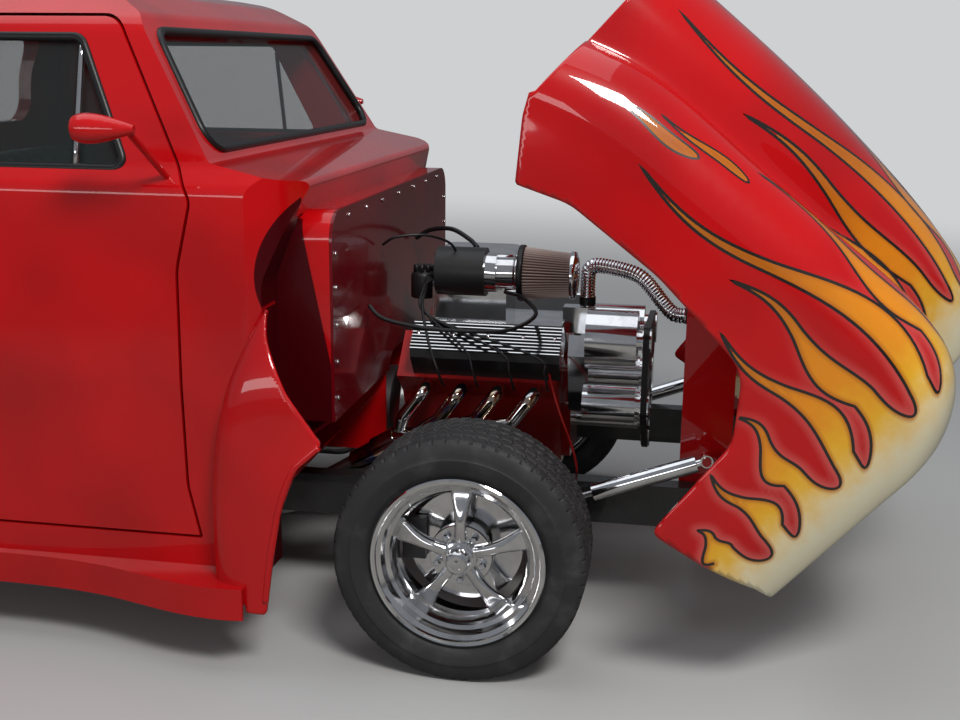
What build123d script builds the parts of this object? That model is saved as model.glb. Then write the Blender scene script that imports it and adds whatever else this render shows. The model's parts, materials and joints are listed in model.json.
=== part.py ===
"""Lowered half-ton pickup hot rod whose whole front end tilts forward.

Millimetres, +X ahead, +Y to the truck's left, +Z up, the ground at z = 0. Outlines seen from
the side are given as (distance ahead of the front axle, height). The tilting front end is
modelled shut, where its curves line up with the cab, and is then swung open about its hinge,
the way the truck stands. Left and right pieces come from one left-hand form and its mirror.
"""

from build123d import *
from math import asin, atan2, cos, degrees, hypot, radians, sin, sqrt
import os

os.makedirs("parts", exist_ok=True)

# Stance
wheelbase = 2794
front_axle_x = 1310
rear_axle_x = front_axle_x - wheelbase
front_wheel_y = 770
rear_wheel_y = 792
front_tyre_radius = 332
rear_tyre_radius = 355
front_tyre_width = 240
rear_tyre_width = 270
rim_radius = 228
fit = 0.3
running_gap = 6
panel_gap = 8

# Frame rails
rail_y = 400
rail_width = 60
rail_height = 120
rail_bottom = 265
rail_end = 690
rail_tail = -3860

# Tilting front end
hinge_ahead = 770
hinge_z = 370
tilt_open = 42
front_skin = 12

# Cab
cab_side_y = 862
cab_skin = 48
roof_z = 1790
cab_back = -1950
cab_bottom = 252
belt_z = 1290
glass_thickness = 6
door_front = -735
door_rear = -1662
door_sill_z = 340
door_head_z = 1684
door_hinge_ahead = -690
door_hinge_y = cab_side_y + 5
cowl_half = 716
firewall_ahead = -365
firewall_top = 1200
firewall_thickness = 8
cowl_corner = 80
floor_z = 440
floor_thickness = 8

# Bed
bed_front = -2010
bed_rear = -3915
bed_half = 622
bed_floor_z = 640
bed_low_z = 430
bed_rail_z = 1080
bed_wall = 30
fender_half = 962

# Engine
crank_z = 490
bank_angle = 45


def at_axle(points):
    """Side-view points, given ahead of the front axle, in the truck's own frame."""
    return [(front_axle_x + ahead, height) for ahead, height in points]


def save(part, name):
    """Label a finished piece and write its file."""
    part.label = name
    export_step(part, f"parts/{name}.step")


def cross_plane(ahead):
    """A plane across the truck, its local x to the left and its local y up."""
    return Plane(origin=(front_axle_x + ahead, 0, 0), x_dir=(0, 1, 0), z_dir=(1, 0, 0))


def side_plane(y):
    """A plane along the truck at this y, its local x ahead and its local y up."""
    return Plane(origin=(0, y, 0), x_dir=(1, 0, 0), z_dir=(0, -1, 0))


# Wheels and tyres, built about their own axle with the outer face up
lip_width = 8
bead_width = 100
hub_radius = 84
hub_face = 76
flange_drop = 24
boss_radius = 44
cap_radius = 37
spoke_count = 5
spoke_depth = 76
step_depth = 58
disc_radius = 152
disc_inner = -46
disc_thickness = 24
spindle_radius = 26


def make_tyre(radius, width):
    """One road tyre: bead, bulged wall, shoulder and three tread bands parted by grooves."""
    half = width / 2
    tread = half - 22
    with BuildPart() as tyre:
        with BuildSketch(Plane.XZ):
            with BuildLine():
                FilletPolyline(
                    (rim_radius - 6 + fit, -bead_width + 4),
                    (rim_radius + 8, -bead_width),
                    (rim_radius + 48, -half),
                    (radius - 30, -half + 2),
                    (radius - 3, -tread),
                    (radius, 0),
                    (radius - 3, tread),
                    (radius - 30, half - 2),
                    (rim_radius + 48, half),
                    (rim_radius + 8, bead_width),
                    (rim_radius - 6 + fit, bead_width - 4),
                    radius=(0, 6, 26, 22, 12, 0, 12, 22, 26, 6, 0),
                    close=True,
                )
            make_face()
            for groove in (-tread / 3, tread / 3):
                with Locations((radius - 1, groove)):
                    Rectangle(12, 9, mode=Mode.SUBTRACT)
        revolve(axis=Axis.Z)
    return tyre.part


def make_wheel(half):
    """One polished five-spoke wheel with its hub, cap and brake disc."""
    with BuildPart() as wheel:
        with BuildSketch(Plane.XZ):
            with BuildLine():
                Polyline(
                    (rim_radius, half), (rim_radius, half - lip_width), (rim_radius - 6, half - 14),
                    (rim_radius - 6, -half + 14), (rim_radius, -half + lip_width), (rim_radius, -half),
                    (rim_radius - 8, -half), (rim_radius - 15, -half + 16), (rim_radius - 15, half - 106),
                    (rim_radius - step_depth + 6, half - 98), (rim_radius - step_depth, half - 90),
                    (rim_radius - step_depth + 2, half - 66), (rim_radius - 48, half - 56),
                    (rim_radius - 42, half - 38), (rim_radius - 32, half - 32), (rim_radius - 25, half - 14),
                    (rim_radius - 14, half - 7), (rim_radius - 12, half),
                    close=True,
                )
            make_face()
        revolve(axis=Axis.Z)
        with BuildSketch(Plane.XZ):
            with BuildLine():
                Polyline(
                    (spindle_radius, disc_inner - 6), (spindle_radius, hub_face - 12), (0, hub_face - 12),
                    (0, hub_face + 42), (cap_radius - 16, hub_face + 38), (cap_radius - 6, hub_face + 26),
                    (cap_radius, hub_face), (boss_radius, hub_face - 3), (boss_radius + 3, hub_face - flange_drop),
                    (hub_radius - 2, hub_face - flange_drop), (hub_radius, hub_face - flange_drop - 4),
                    (hub_radius, hub_face - 44), (hub_radius - 20, hub_face - 52),
                    (hub_radius - 20, disc_inner + disc_thickness),
                    (disc_radius, disc_inner + disc_thickness), (disc_radius, disc_inner),
                    (hub_radius - 30, disc_inner), (hub_radius - 36, disc_inner - 6),
                    close=True,
                )
            make_face()
        revolve(axis=Axis.Z)
        for step in range(spoke_count):
            turn = -90 + step * 360 / spoke_count
            # Columns: distance from the axle, height of the spoke's middle, width, thickness
            stations = (
                (boss_radius - 10, hub_face - 24, 34, 36),
                (boss_radius + 36, hub_face - 22, 32, 36),
                (0.5 * (boss_radius + 36 + rim_radius - step_depth), hub_face - 28, 40, 32),
                (rim_radius - step_depth - 2, half - spoke_depth, 60, 24),
                (rim_radius - step_depth + 16, half - spoke_depth, 64, 20),
            )
            for reach, height, wide, thick in stations:
                out = Vector(cos(radians(turn)), sin(radians(turn)), 0)
                plane = Plane(origin=out * reach + Vector(0, 0, height), x_dir=Vector(0, 0, 1), z_dir=out)
                with BuildSketch(plane):
                    RectangleRounded(thick, wide, 0.45 * min(thick, wide))
            loft()
    return wheel.part


def place_wheel(part, ahead, y, radius):
    """A wheel piece set on the left end of its axle."""
    return part.moved(Location((front_axle_x + ahead, y, radius), (-90, 0, 0)))


front_rim_half = 112
rear_rim_half = 122
wheel_sets = (
    ("front", 0, front_wheel_y, front_tyre_radius, front_tyre_width, front_rim_half),
    ("rear", -wheelbase, rear_wheel_y, rear_tyre_radius, rear_tyre_width, rear_rim_half),
)
for end, ahead, wheel_y, tyre_radius, tyre_width, rim_half in wheel_sets:
    tyre_left = place_wheel(make_tyre(tyre_radius, tyre_width), ahead, wheel_y, tyre_radius)
    wheel_left = place_wheel(make_wheel(rim_half), ahead, wheel_y, tyre_radius)
    save(tyre_left, f"tyre_{end}_left")
    save(wheel_left, f"wheel_{end}_left")
    save(mirror(tyre_left, about=Plane.XZ), f"tyre_{end}_right")
    save(mirror(wheel_left, about=Plane.XZ), f"wheel_{end}_right")

# Chassis frame: two boxed rails with a kick-up over the rear axle, and their crossmembers
rail_front_lift = 35
kick_up = 170
tail_lift = 95
ear_thickness = 16
ear_radius = 22
hinge_pin_radius = 8
strut_foot = (160, 345)
strut_y = 465
strut_eye_width = 18
# Columns: rail centre ahead of the axle, its length, bottom above the rail bottom, height
crossmembers = (
    (590, 60, rail_front_lift + 20, 60),
    (-985, 70, 0, 40),
    (-2300, 60, 0, 60),
    (-3270, 60, tail_lift, 70),
    (rail_tail + 30, 60, tail_lift, 110),
)
rail_low = (
    (rail_end, rail_front_lift), (-150, rail_front_lift), (-450, 0), (-2300, 0),
    (-2520, kick_up), (-3060, kick_up), (-3240, tail_lift), (rail_tail, tail_lift),
)
with BuildPart() as chassis_frame:
    with BuildSketch(side_plane(rail_y - rail_width / 2)):
        with BuildLine():
            low = [(ahead, rail_bottom + lift) for ahead, lift in rail_low]
            high = [(ahead, rail_bottom + lift + rail_height) for ahead, lift in reversed(rail_low)]
            Polyline(*at_axle(low + high), close=True)
        make_face()
    extrude(amount=-rail_width)
    with BuildSketch(side_plane(rail_y - ear_thickness / 2)):
        with BuildLine():
            foot = rail_bottom + rail_front_lift
            Polyline(
                *at_axle([
                    (rail_end - 4, foot + 8), (rail_end - 4, foot + rail_height - 8),
                    (hinge_ahead - 5, hinge_z + ear_radius - 2), (hinge_ahead - 5, hinge_z - ear_radius + 2),
                ]),
                close=True,
            )
        make_face()
        with Locations((front_axle_x + hinge_ahead, hinge_z)):
            Circle(ear_radius)
            Circle(hinge_pin_radius + fit, mode=Mode.SUBTRACT)
    extrude(amount=-ear_thickness)
    with BuildSketch(side_plane(rail_y + rail_width / 2)):
        with Locations(at_axle([strut_foot])[0]):
            Circle(14)
    extrude(amount=rail_y + rail_width / 2 - strut_y + strut_eye_width / 2 + 2 * fit)
    mirror(about=Plane.XZ)
    for centre, length, lift, height in crossmembers:
        with Locations((front_axle_x + centre, 0, rail_bottom + lift + height / 2)):
            Box(length, 2 * rail_y - rail_width + 2, height)
save(chassis_frame.part, "chassis_frame")

# Front suspension: crossmember with spring towers, wishbones, coil springs and the rack's tube
kingpin_y = 700
crossmember_half = 65
lower_arm_z = 222
upper_arm_z = 470
arm_thickness = 20
tower_outer = 472
tower_top = 572
stud_radius = 12
rack_ahead = 120
rack_z = 262
rack_radius = 22
tie_rod_radius = 9
rail_floor = rail_bottom + rail_front_lift
with BuildPart() as front_suspension:
    with Locations((front_axle_x, 0, (rail_floor + 214) / 2)):
        Box(2 * crossmember_half, 2 * 450, rail_floor - 214)
    for lug_y in (-210, 210):
        with Locations((front_axle_x + 84, lug_y, rack_z)):
            Box(50, 34, 30)
    with BuildSketch(side_plane(-300)):
        with Locations((front_axle_x + rack_ahead, rack_z)):
            Circle(rack_radius)
    extrude(amount=-600)
    with BuildSketch(side_plane(-310)):
        with Locations((front_axle_x + rack_ahead, rack_z)):
            Circle(tie_rod_radius + fit)
    extrude(amount=-620, mode=Mode.SUBTRACT)
    for side in (-1, 1):
        inner_face = rail_y + rail_width / 2 + 6
        with Locations((front_axle_x, side * (inner_face + tower_outer) / 2, (rail_floor - 20 + tower_top) / 2)):
            Box(90, tower_outer - inner_face, tower_top - rail_floor + 20)
        with Locations((front_axle_x, side * (tower_outer + 24), tower_top - 6)):
            Box(80, 60, 12)
        # Columns: arm bottom height, half width at the frame, where the arm starts
        for arm_z, root_half, root_y in ((lower_arm_z, 62, 440), (upper_arm_z, 70, tower_outer - 10)):
            with BuildSketch(Plane.XY.offset(arm_z)):
                with BuildLine():
                    Polyline(
                        (front_axle_x - root_half, side * root_y), (front_axle_x + root_half, side * root_y),
                        (front_axle_x + 20, side * kingpin_y), (front_axle_x - 20, side * kingpin_y),
                        close=True,
                    )
                make_face()
                with Locations((front_axle_x, side * kingpin_y)):
                    Circle(24)
                if arm_z == upper_arm_z:
                    with Locations((front_axle_x, side * (tower_outer + 62))):
                        Rectangle(78, 104, mode=Mode.SUBTRACT)
            extrude(amount=arm_thickness)
        with Locations((front_axle_x, side * kingpin_y, lower_arm_z + arm_thickness + 16)):
            Cylinder(stud_radius, 32)
        with Locations((front_axle_x, side * kingpin_y, upper_arm_z - 14)):
            Cylinder(stud_radius, 32)
        # The coil spring and its damper lean inboard from the lower arm to the tower's plate
        coil_foot = Vector(front_axle_x, side * 566, lower_arm_z + arm_thickness - 4)
        coil_head = Vector(front_axle_x, side * 506, tower_top - 8)
        lean = (coil_head - coil_foot).normalized()
        coil_length = (coil_head - coil_foot).length
        with BuildSketch(Plane(origin=coil_foot, x_dir=(1, 0, 0), z_dir=lean)):
            Circle(16)
        extrude(amount=coil_length)
        for turn in range(7):
            seat = coil_foot + lean * (60 + turn * 36)
            with BuildSketch(Plane(origin=seat, x_dir=(1, 0, 0), z_dir=lean)):
                Circle(34)
            extrude(amount=14)
save(front_suspension.part, "front_suspension")

# Knuckle: upright, spindle, steering arm and the brake caliper that straddles the disc
spindle_z = front_tyre_radius
knuckle_low = lower_arm_z + arm_thickness + 6
knuckle_high = upper_arm_z - 6
disc_near = front_wheel_y + disc_inner
disc_far = disc_near + disc_thickness
arm_eye_y = 650
with BuildPart() as knuckle:
    with Locations((front_axle_x, kingpin_y, (knuckle_low + knuckle_high) / 2)):
        Box(44, 34, knuckle_high - knuckle_low)
    for socket_z in (knuckle_low, knuckle_high):
        with Locations((front_axle_x, kingpin_y, socket_z)):
            Cylinder(stud_radius + fit, 60, mode=Mode.SUBTRACT)
    with BuildSketch(side_plane(kingpin_y)):
        with Locations((front_axle_x, spindle_z)):
            Circle(spindle_radius - fit)
    extrude(amount=kingpin_y - front_wheel_y - hub_face + 14)
    with BuildSketch(Plane.XY.offset(rack_z + 15)):
        with BuildLine():
            Polyline(
                (front_axle_x, kingpin_y - 16), (front_axle_x, kingpin_y + 10),
                (front_axle_x + rack_ahead, arm_eye_y + 12), (front_axle_x + rack_ahead, arm_eye_y - 12),
                close=True,
            )
        make_face()
        with Locations((front_axle_x + rack_ahead, arm_eye_y)):
            Circle(15)
    extrude(amount=14)
    with Locations((front_axle_x - 70, kingpin_y + 3, spindle_z + 20)):
        Box(110, 20, 56)
    with Locations((front_axle_x - 136, disc_near + 8, spindle_z + 20)):
        Box(62, 84, 116)
    with BuildSketch(side_plane(disc_near - running_gap)):
        with Locations((front_axle_x, spindle_z)):
            Circle(disc_radius + running_gap)
            Circle(2 * spindle_radius, mode=Mode.SUBTRACT)
    extrude(amount=-disc_thickness - 2 * running_gap, mode=Mode.SUBTRACT)
save(knuckle.part, "knuckle_left")
save(mirror(knuckle.part, about=Plane.XZ), "knuckle_right")

# The rack's sliding bar with its tie rods, ending under the steering arms
with BuildPart() as tie_rods:
    with BuildSketch(side_plane(-arm_eye_y)):
        with Locations((front_axle_x + rack_ahead, rack_z)):
            Circle(tie_rod_radius)
    extrude(amount=-2 * arm_eye_y)
    with Locations(*[(front_axle_x + rack_ahead, side * arm_eye_y, rack_z) for side in (-1, 1)]):
        Cylinder(14, 20)
save(tie_rods.part, "tie_rods")

# Rear axle with its differential and leaf springs
axle_tube_radius = 38
spring_y = 500
spring_width = 60
rear_hub_end = rear_wheel_y + disc_inner - 6
with BuildPart() as rear_axle:
    centre = at_axle([(-wheelbase, rear_tyre_radius)])[0]
    with BuildSketch(side_plane(-rear_hub_end + 6)):
        with Locations(centre):
            Circle(axle_tube_radius)
    extrude(amount=-2 * rear_hub_end + 12)
    with BuildSketch(side_plane(-rear_wheel_y - hub_face + 14)):
        with Locations(centre):
            Circle(spindle_radius - fit)
    extrude(amount=-2 * (rear_wheel_y + hub_face - 14))
    with BuildSketch(Plane(origin=(centre[0], 0, centre[1]), x_dir=(0, 1, 0), z_dir=(1, 0, 0))):
        with BuildLine():
            Polyline((0, -128), (70, -120), (118, -60), (128, 0), (118, 60), (70, 120), (0, 128), close=True)
        make_face()
    revolve(axis=Axis((centre[0], 0, centre[1]), (0, 0, 1)))
    with BuildSketch(cross_plane(-wheelbase)):
        with Locations((0, rear_tyre_radius)):
            Circle(58)
    extrude(amount=165)
    for side in (-1, 1):
        for leaf, leaf_half in enumerate((590, 450, 310)):
            leaf_z = rear_tyre_radius + axle_tube_radius + 34 - leaf * 11
            rise = 46 - leaf * 12
            with BuildSketch(side_plane(side * spring_y + spring_width / 2)):
                with BuildLine():
                    ends = at_axle([
                        (-wheelbase - leaf_half, leaf_z + rise), (-wheelbase, leaf_z),
                        (-wheelbase + leaf_half, leaf_z + rise),
                    ])
                    low_ends = [(x, z - 12) for x, z in ends]
                    ThreePointArc(*ends)
                    Line(ends[2], low_ends[2])
                    ThreePointArc(low_ends[2], low_ends[1], low_ends[0])
                    Line(low_ends[0], ends[0])
                make_face()
            extrude(amount=spring_width)
        with Locations((centre[0], side * spring_y, rear_tyre_radius + 30)):
            Box(110, spring_width + 16, 44)
        pin_start = rail_y + rail_width / 2 + fit
        pin_end = spring_y + spring_width / 2 + 8
        for end in (-1, 1):
            eye = at_axle([(-wheelbase + end * 584, rear_tyre_radius + axle_tube_radius + 74)])[0]
            with BuildSketch(side_plane(side * pin_start)):
                with Locations(eye):
                    Circle(15)
            extrude(amount=-side * (pin_end - pin_start))
save(rear_axle.part, "rear_axle")

# Gearbox and propeller shaft on the engine's centre line
bell_back = -368
gearbox_back = -1080
engine_back = -300
with BuildPart() as driveline:
    # Columns: how far ahead of the axle, radius
    stations = (
        (engine_back - fit, 172), (-325, 172), (bell_back, 128), (-900, 105), (-930, 78), (gearbox_back, 62),
    )
    with BuildSketch(Plane.XZ):
        with BuildLine():
            outline = [(ahead, crank_z + radius) for ahead, radius in stations]
            Polyline(*at_axle([(engine_back - fit, crank_z)] + outline + [(gearbox_back, crank_z)]), close=True)
        make_face()
    revolve(axis=Axis((front_axle_x, 0, crank_z), (1, 0, 0)))
    shaft_start = Vector(front_axle_x + gearbox_back + 30, 0, crank_z)
    shaft_end = Vector(front_axle_x - wheelbase + 165 + fit, 0, rear_tyre_radius)
    run = shaft_end - shaft_start
    with BuildSketch(Plane(origin=shaft_start, x_dir=(0, 1, 0), z_dir=run.normalized())):
        Circle(38)
    extrude(amount=run.length - 4)
    pad_foot = rail_bottom + 40 + fit
    with Locations((front_axle_x - 985, 0, (pad_foot + crank_z - 40) / 2)):
        Box(56, 90, crank_z - 40 - pad_foot)
save(driveline.part, "driveline")

# Fuel tank slung between the rails behind the axle
with BuildPart() as fuel_tank:
    with Locations((front_axle_x - 3550, 0, rail_bottom + tail_lift + 28)):
        Box(480, 2 * rail_y - rail_width - 2 * fit, 150)
    fillet(fuel_tank.edges().filter_by(Axis.Y), 30)
save(fuel_tank.part, "fuel_tank")

# Engine: a V8's block, heads and pan as one closed block, dressed by its own pieces
engine_front = 205
deck_reach = 230
head_reach = 334
cover_reach = 428
cover_back = -250
cover_front = 190


def on_bank(reach, across):
    """A point (y, z) on the left bank, this far out from the crank and across the bank."""
    lean = radians(bank_angle)
    return (reach * sin(lean) + across * cos(lean), crank_z + reach * cos(lean) - across * sin(lean))


with BuildPart() as engine_block:
    with BuildSketch(cross_plane(engine_back)):
        with BuildLine():
            half = [(0, 362), (112, 362), (150, 440), on_bank(deck_reach, 78), on_bank(head_reach, 86),
                    on_bank(head_reach, -76), on_bank(deck_reach, -70), (0, crank_z + 130)]
            Polyline(*half, *[(-y, z) for y, z in reversed(half[1:-1])], close=True)
        make_face()
    extrude(amount=engine_front - engine_back - 25)
    with BuildSketch(cross_plane(engine_front - 25)):
        with BuildLine():
            FilletPolyline((-105, 380), (105, 380), (120, 560), (70, 660), (-70, 660), (-120, 560),
                           radius=22, close=True)
        make_face()
    extrude(amount=25)
    with Locations((front_axle_x - 195, 0, 310)):
        Box(190, 210, 112)
    mount_foot = rail_bottom + rail_front_lift + rail_height + fit
    with Locations(*[(front_axle_x - 150, side * 279, 455) for side in (-1, 1)]):
        Box(60, 298, 30)
    with Locations(*[(front_axle_x - 150, side * rail_y, (mount_foot + 455) / 2) for side in (-1, 1)]):
        Box(60, 56, 455 - mount_foot)
save(engine_block.part, "engine_block")

# Finned rocker covers, one on each bank
fin_count = 9
with BuildPart() as valve_covers:
    cover_plane = cross_plane(cover_back)
    with BuildSketch(cover_plane):
        with BuildLine():
            Polyline(
                on_bank(head_reach, 74), on_bank(cover_reach - 14, 66), on_bank(cover_reach, 50),
                on_bank(cover_reach, -48), on_bank(cover_reach - 14, -64), on_bank(head_reach, -72), close=True,
            )
        make_face()
        for fin in range(fin_count):
            across = -44 + fin * 90 / (fin_count - 1)
            with BuildLine():
                Polyline(
                    on_bank(cover_reach - 2, across - 2), on_bank(cover_reach + 7, across - 1.5),
                    on_bank(cover_reach + 7, across + 1.5), on_bank(cover_reach - 2, across + 2), close=True,
                )
            make_face()
    extrude(amount=cover_front - cover_back)
    mirror(about=Plane.XZ)
save(valve_covers.part, "valve_covers")

# Intake manifold with its plenum and the throttle drum that faces forward
plenum_top = 1010
throttle_y = -60
throttle_z = 955
throttle_front = 20
with BuildPart() as intake:
    with BuildSketch(cross_plane(-230)):
        with BuildLine():
            Polyline((-96, 690), (96, 690), (150, 745), (120, 800), (-120, 800), (-150, 745), close=True)
        make_face()
    extrude(amount=400)
    with Locations((front_axle_x - 120, 0, 855)):
        Box(230, 190, 130)
    with BuildSketch(Plane.XY.offset(900)):
        with Locations((front_axle_x - 110, 20)):
            RectangleRounded(250, 250, 40)
    extrude(amount=plenum_top - 900)
    fillet(intake.faces().sort_by(Axis.Z)[-1].edges(), 18)
    for start, length, radius in ((-215, 150, 74), (-70, 40, 60), (-35, 55, 48)):
        with BuildSketch(cross_plane(start)):
            with Locations((throttle_y - 40, throttle_z)):
                Circle(radius)
        extrude(amount=length)
    with Locations((front_axle_x + 218, -40, 810)):
        Box(100, 56, 80)
save(intake.part, "intake")

# Conical air filter on the throttle's mouth
filter_back = throttle_front + 20
filter_front = 205
filter_back_radius = 82
filter_front_radius = 66
pleat_count = 36
with BuildPart() as air_filter:
    for start, length, radius in (
        (throttle_front + fit, 24, 46), (filter_back, 14, filter_back_radius + 4),
        (filter_front - 12, 14, filter_front_radius + 4),
    ):
        with BuildSketch(cross_plane(start)):
            with Locations((throttle_y - 40, throttle_z)):
                Circle(radius)
        extrude(amount=length)
    for start, radius in ((filter_back + 10, filter_back_radius), (filter_front - 8, filter_front_radius)):
        with BuildSketch(cross_plane(start)):
            with Locations((throttle_y - 40, throttle_z)):
                with BuildLine():
                    corners = [
                        ((radius - 5 * (step % 2)) * cos(radians(step * 180 / pleat_count)),
                         (radius - 5 * (step % 2)) * sin(radians(step * 180 / pleat_count)))
                        for step in range(2 * pleat_count)
                    ]
                    Polyline(*[(throttle_y - 40 + y, throttle_z + z) for y, z in corners], close=True)
                make_face()
    loft(ruled=True)
save(air_filter.part, "air_filter")

# Exhaust headers: four tubes a side, swept back into a collector inside the frame rail
header_radius = 20
collector_start = (-286, 334, 478)
collector_end = (-420, 330, 396)
with BuildPart() as exhaust_headers:
    # Columns: port ahead of the axle, how far the tube's end sits from the collector's middle
    for port, end_y, end_z in ((-205, -16, -16), (-98, 16, -16), (9, -16, 16), (116, 16, 16)):
        with BuildLine() as tube_line:
            FilletPolyline(
                (front_axle_x + port, 264, 640), (front_axle_x + port, 350, 640),
                (front_axle_x + port - 62, 356, 556),
                (front_axle_x + collector_start[0] - 10, collector_start[1] + end_y, collector_start[2] - 8 + end_z),
                radius=(34, 30),
            )
        with BuildSketch(Plane(origin=tube_line.line @ 0, x_dir=(1, 0, 0), z_dir=tube_line.line % 0)):
            Circle(header_radius)
        sweep(path=tube_line.line)
    start = Vector(front_axle_x + collector_start[0], collector_start[1], collector_start[2])
    end = Vector(front_axle_x + collector_end[0], collector_end[1], collector_end[2])
    run = end - start
    for portion, radius in ((0, 42), (0.5, 36)):
        with BuildSketch(Plane(origin=start + run * portion, x_dir=(0, 1, 0), z_dir=run.normalized())):
            Circle(radius)
        extrude(amount=run.length * 0.5)
    add(engine_block.part, mode=Mode.SUBTRACT)
    mirror(about=Plane.XZ)
save(exhaust_headers.part, "exhaust_headers")

# Exhaust pipes with their silencers, under the frame
pipe_radius = 27
pipe_y = 300
pipe_z = 228
silencer = (-1300, -1760)
pipe_end = -2430
tip_radius = 30
tip_length = 100
hanger_ahead = (-985, -2300)
with BuildPart() as exhaust_system:
    collector_way = (Vector(collector_end) - Vector(collector_start)).normalized()
    joint_point = Vector(collector_end) + collector_way * fit
    bend_point = Vector(collector_end) + collector_way * 100
    with BuildLine() as pipe_line:
        FilletPolyline(*[
            (front_axle_x + point[0], point[1], point[2])
            for point in (tuple(joint_point), tuple(bend_point), (-640, pipe_y, pipe_z), (silencer[0], pipe_y, pipe_z))
        ], radius=(90, 90))
    with BuildSketch(Plane(origin=pipe_line.line @ 0, x_dir=(0, 1, 0), z_dir=pipe_line.line % 0)):
        Circle(pipe_radius)
    sweep(path=pipe_line.line)
    with BuildSketch(cross_plane(pipe_end)):
        with Locations((pipe_y, pipe_z)):
            Circle(pipe_radius)
    extrude(amount=silencer[1] - pipe_end)
    with BuildSketch(cross_plane(pipe_end)):
        with Locations((pipe_y, pipe_z)):
            Circle(tip_radius)
    extrude(amount=tip_length)
    with BuildSketch(cross_plane(pipe_end)):
        with Locations((pipe_y, pipe_z)):
            Circle(pipe_radius - 2)
    extrude(amount=tip_length, mode=Mode.SUBTRACT)
    # Hangers up to the frame's crossmembers
    for ahead in hanger_ahead:
        with Locations((front_axle_x + ahead, pipe_y, (pipe_z + 20 + rail_bottom - fit) / 2)):
            Box(30, 30, rail_bottom - fit - pipe_z - 20)
    with BuildSketch(cross_plane(silencer[1])):
        with Locations((pipe_y, pipe_z - 6)):
            RectangleRounded(140, 82, 38)
    extrude(amount=silencer[0] - silencer[1])
    mirror(about=Plane.XZ)
save(exhaust_system.part, "exhaust_system")

# Belt drive ahead of the block: pulleys on their bodies, the alternator and the belt
belt_back = 420
belt_width = 22
# Columns: body across, height, body radius, pulley radius, where the body starts
accessories = (
    (0, crank_z, 32, 84, engine_front),
    (0, 640, 52, 60, engine_front),
    (-220, 790, 88, 36, 258),
    (215, 740, 70, 50, 240),
    (-205, 590, 54, 52, 250),
)
with BuildPart() as drive_belt:
    with BuildSketch(cross_plane(belt_back + 3)):
        with BuildLine():
            for across, height, body_radius, pulley_radius, body_start in accessories:
                CenterArc((across, height), pulley_radius + 5, 0, 360)
        make_hull()
        with BuildLine():
            for across, height, body_radius, pulley_radius, body_start in accessories:
                CenterArc((across, height), pulley_radius - 6, 0, 360)
        make_hull(mode=Mode.SUBTRACT)
    extrude(amount=belt_width - 4)

with BuildPart() as accessory_drive:
    for across, height, body_radius, pulley_radius, body_start in accessories:
        with BuildSketch(cross_plane(body_start)):
            with Locations((across, height)):
                Circle(body_radius)
        extrude(amount=belt_back - 14 - body_start)
        with BuildSketch(cross_plane(belt_back - 16)):
            with Locations((across, height)):
                Circle(min(body_radius, pulley_radius) - 8)
        extrude(amount=30)
        with BuildSketch(cross_plane(belt_back)):
            with Locations((across, height)):
                Circle(pulley_radius)
        extrude(amount=belt_width + 4)
    add(drive_belt.part)
    with BuildSketch(cross_plane(engine_front)):
        with BuildLine():
            Polyline((-190, 560), (190, 640), (215, 740), (60, 670), (-60, 670), (-230, 800), (-250, 740), close=True)
        make_face()
    extrude(amount=60)
save(accessory_drive.part, "accessory_drive")

# Radiator in its sheet-metal support
support_back = 545
support_front = 688
support_half = 362
support_top = 896
support_foot = rail_bottom + rail_front_lift + 20 + 60
sheet = 10
with BuildPart() as radiator_support:
    with Locations((front_axle_x + 590, 0, support_foot + sheet / 2)):
        Box(60, 2 * support_half, sheet)
    for side in (-1, 1):
        with Locations((front_axle_x + (support_back + support_front) / 2, side * (support_half - sheet / 2),
                        (support_foot + support_top) / 2)):
            Box(support_front - support_back, sheet, support_top - support_foot)
    with Locations((front_axle_x + support_back + 65, 0, support_top - sheet / 2)):
        Box(130, 2 * support_half, sheet)
    with Locations((front_axle_x + support_front - 5, 0, support_top - 35)):
        Box(10, 2 * support_half, 70)
save(radiator_support.part, "radiator_support")

core_back = 582
core_front = 646
with BuildPart() as radiator:
    with Locations((front_axle_x + (core_back + core_front) / 2, 0, (support_foot + sheet + 870) / 2)):
        Box(core_front - core_back, 2 * 330, 870 - support_foot - sheet)
    with Locations((front_axle_x + (core_back + core_front) / 2, 0, 845)):
        Box(core_front - core_back + 16, 2 * 338, 50)
    with BuildSketch(cross_plane(core_back - 34)):
        with Locations((0, 625)):
            Circle(205)
            Circle(196, mode=Mode.SUBTRACT)
            Circle(50)
            for blade in range(6):
                with Locations(Location((0, 0, 0), (0, 0, blade * 60))):
                    with Locations((110, 0)):
                        Rectangle(190, 34)
    extrude(amount=36)
save(radiator.part, "radiator")

# Ribbed hose from the thermostat neck to the radiator's top tank
hose_radius = 24
hose_route = (
    (240, -40, 850 + fit), (240, -40, 985), (400, -85, 965), (500, -105, 848), (core_back - 8 - fit, -105, 848),
)
with BuildPart() as radiator_hose:
    with BuildLine() as hose_line:
        FilletPolyline(*[(front_axle_x + ahead, y, z) for ahead, y, z in hose_route], radius=(60, 110, 60))
    with BuildSketch(Plane(origin=hose_line.line @ 0, x_dir=(1, 0, 0), z_dir=hose_line.line % 0)):
        Circle(hose_radius)
    sweep(path=hose_line.line)
save(radiator_hose.part, "radiator_hose")

# Cab: three outlines crossed give its form, and the same three drawn in give its walls
half_gap = panel_gap / 2
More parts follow.
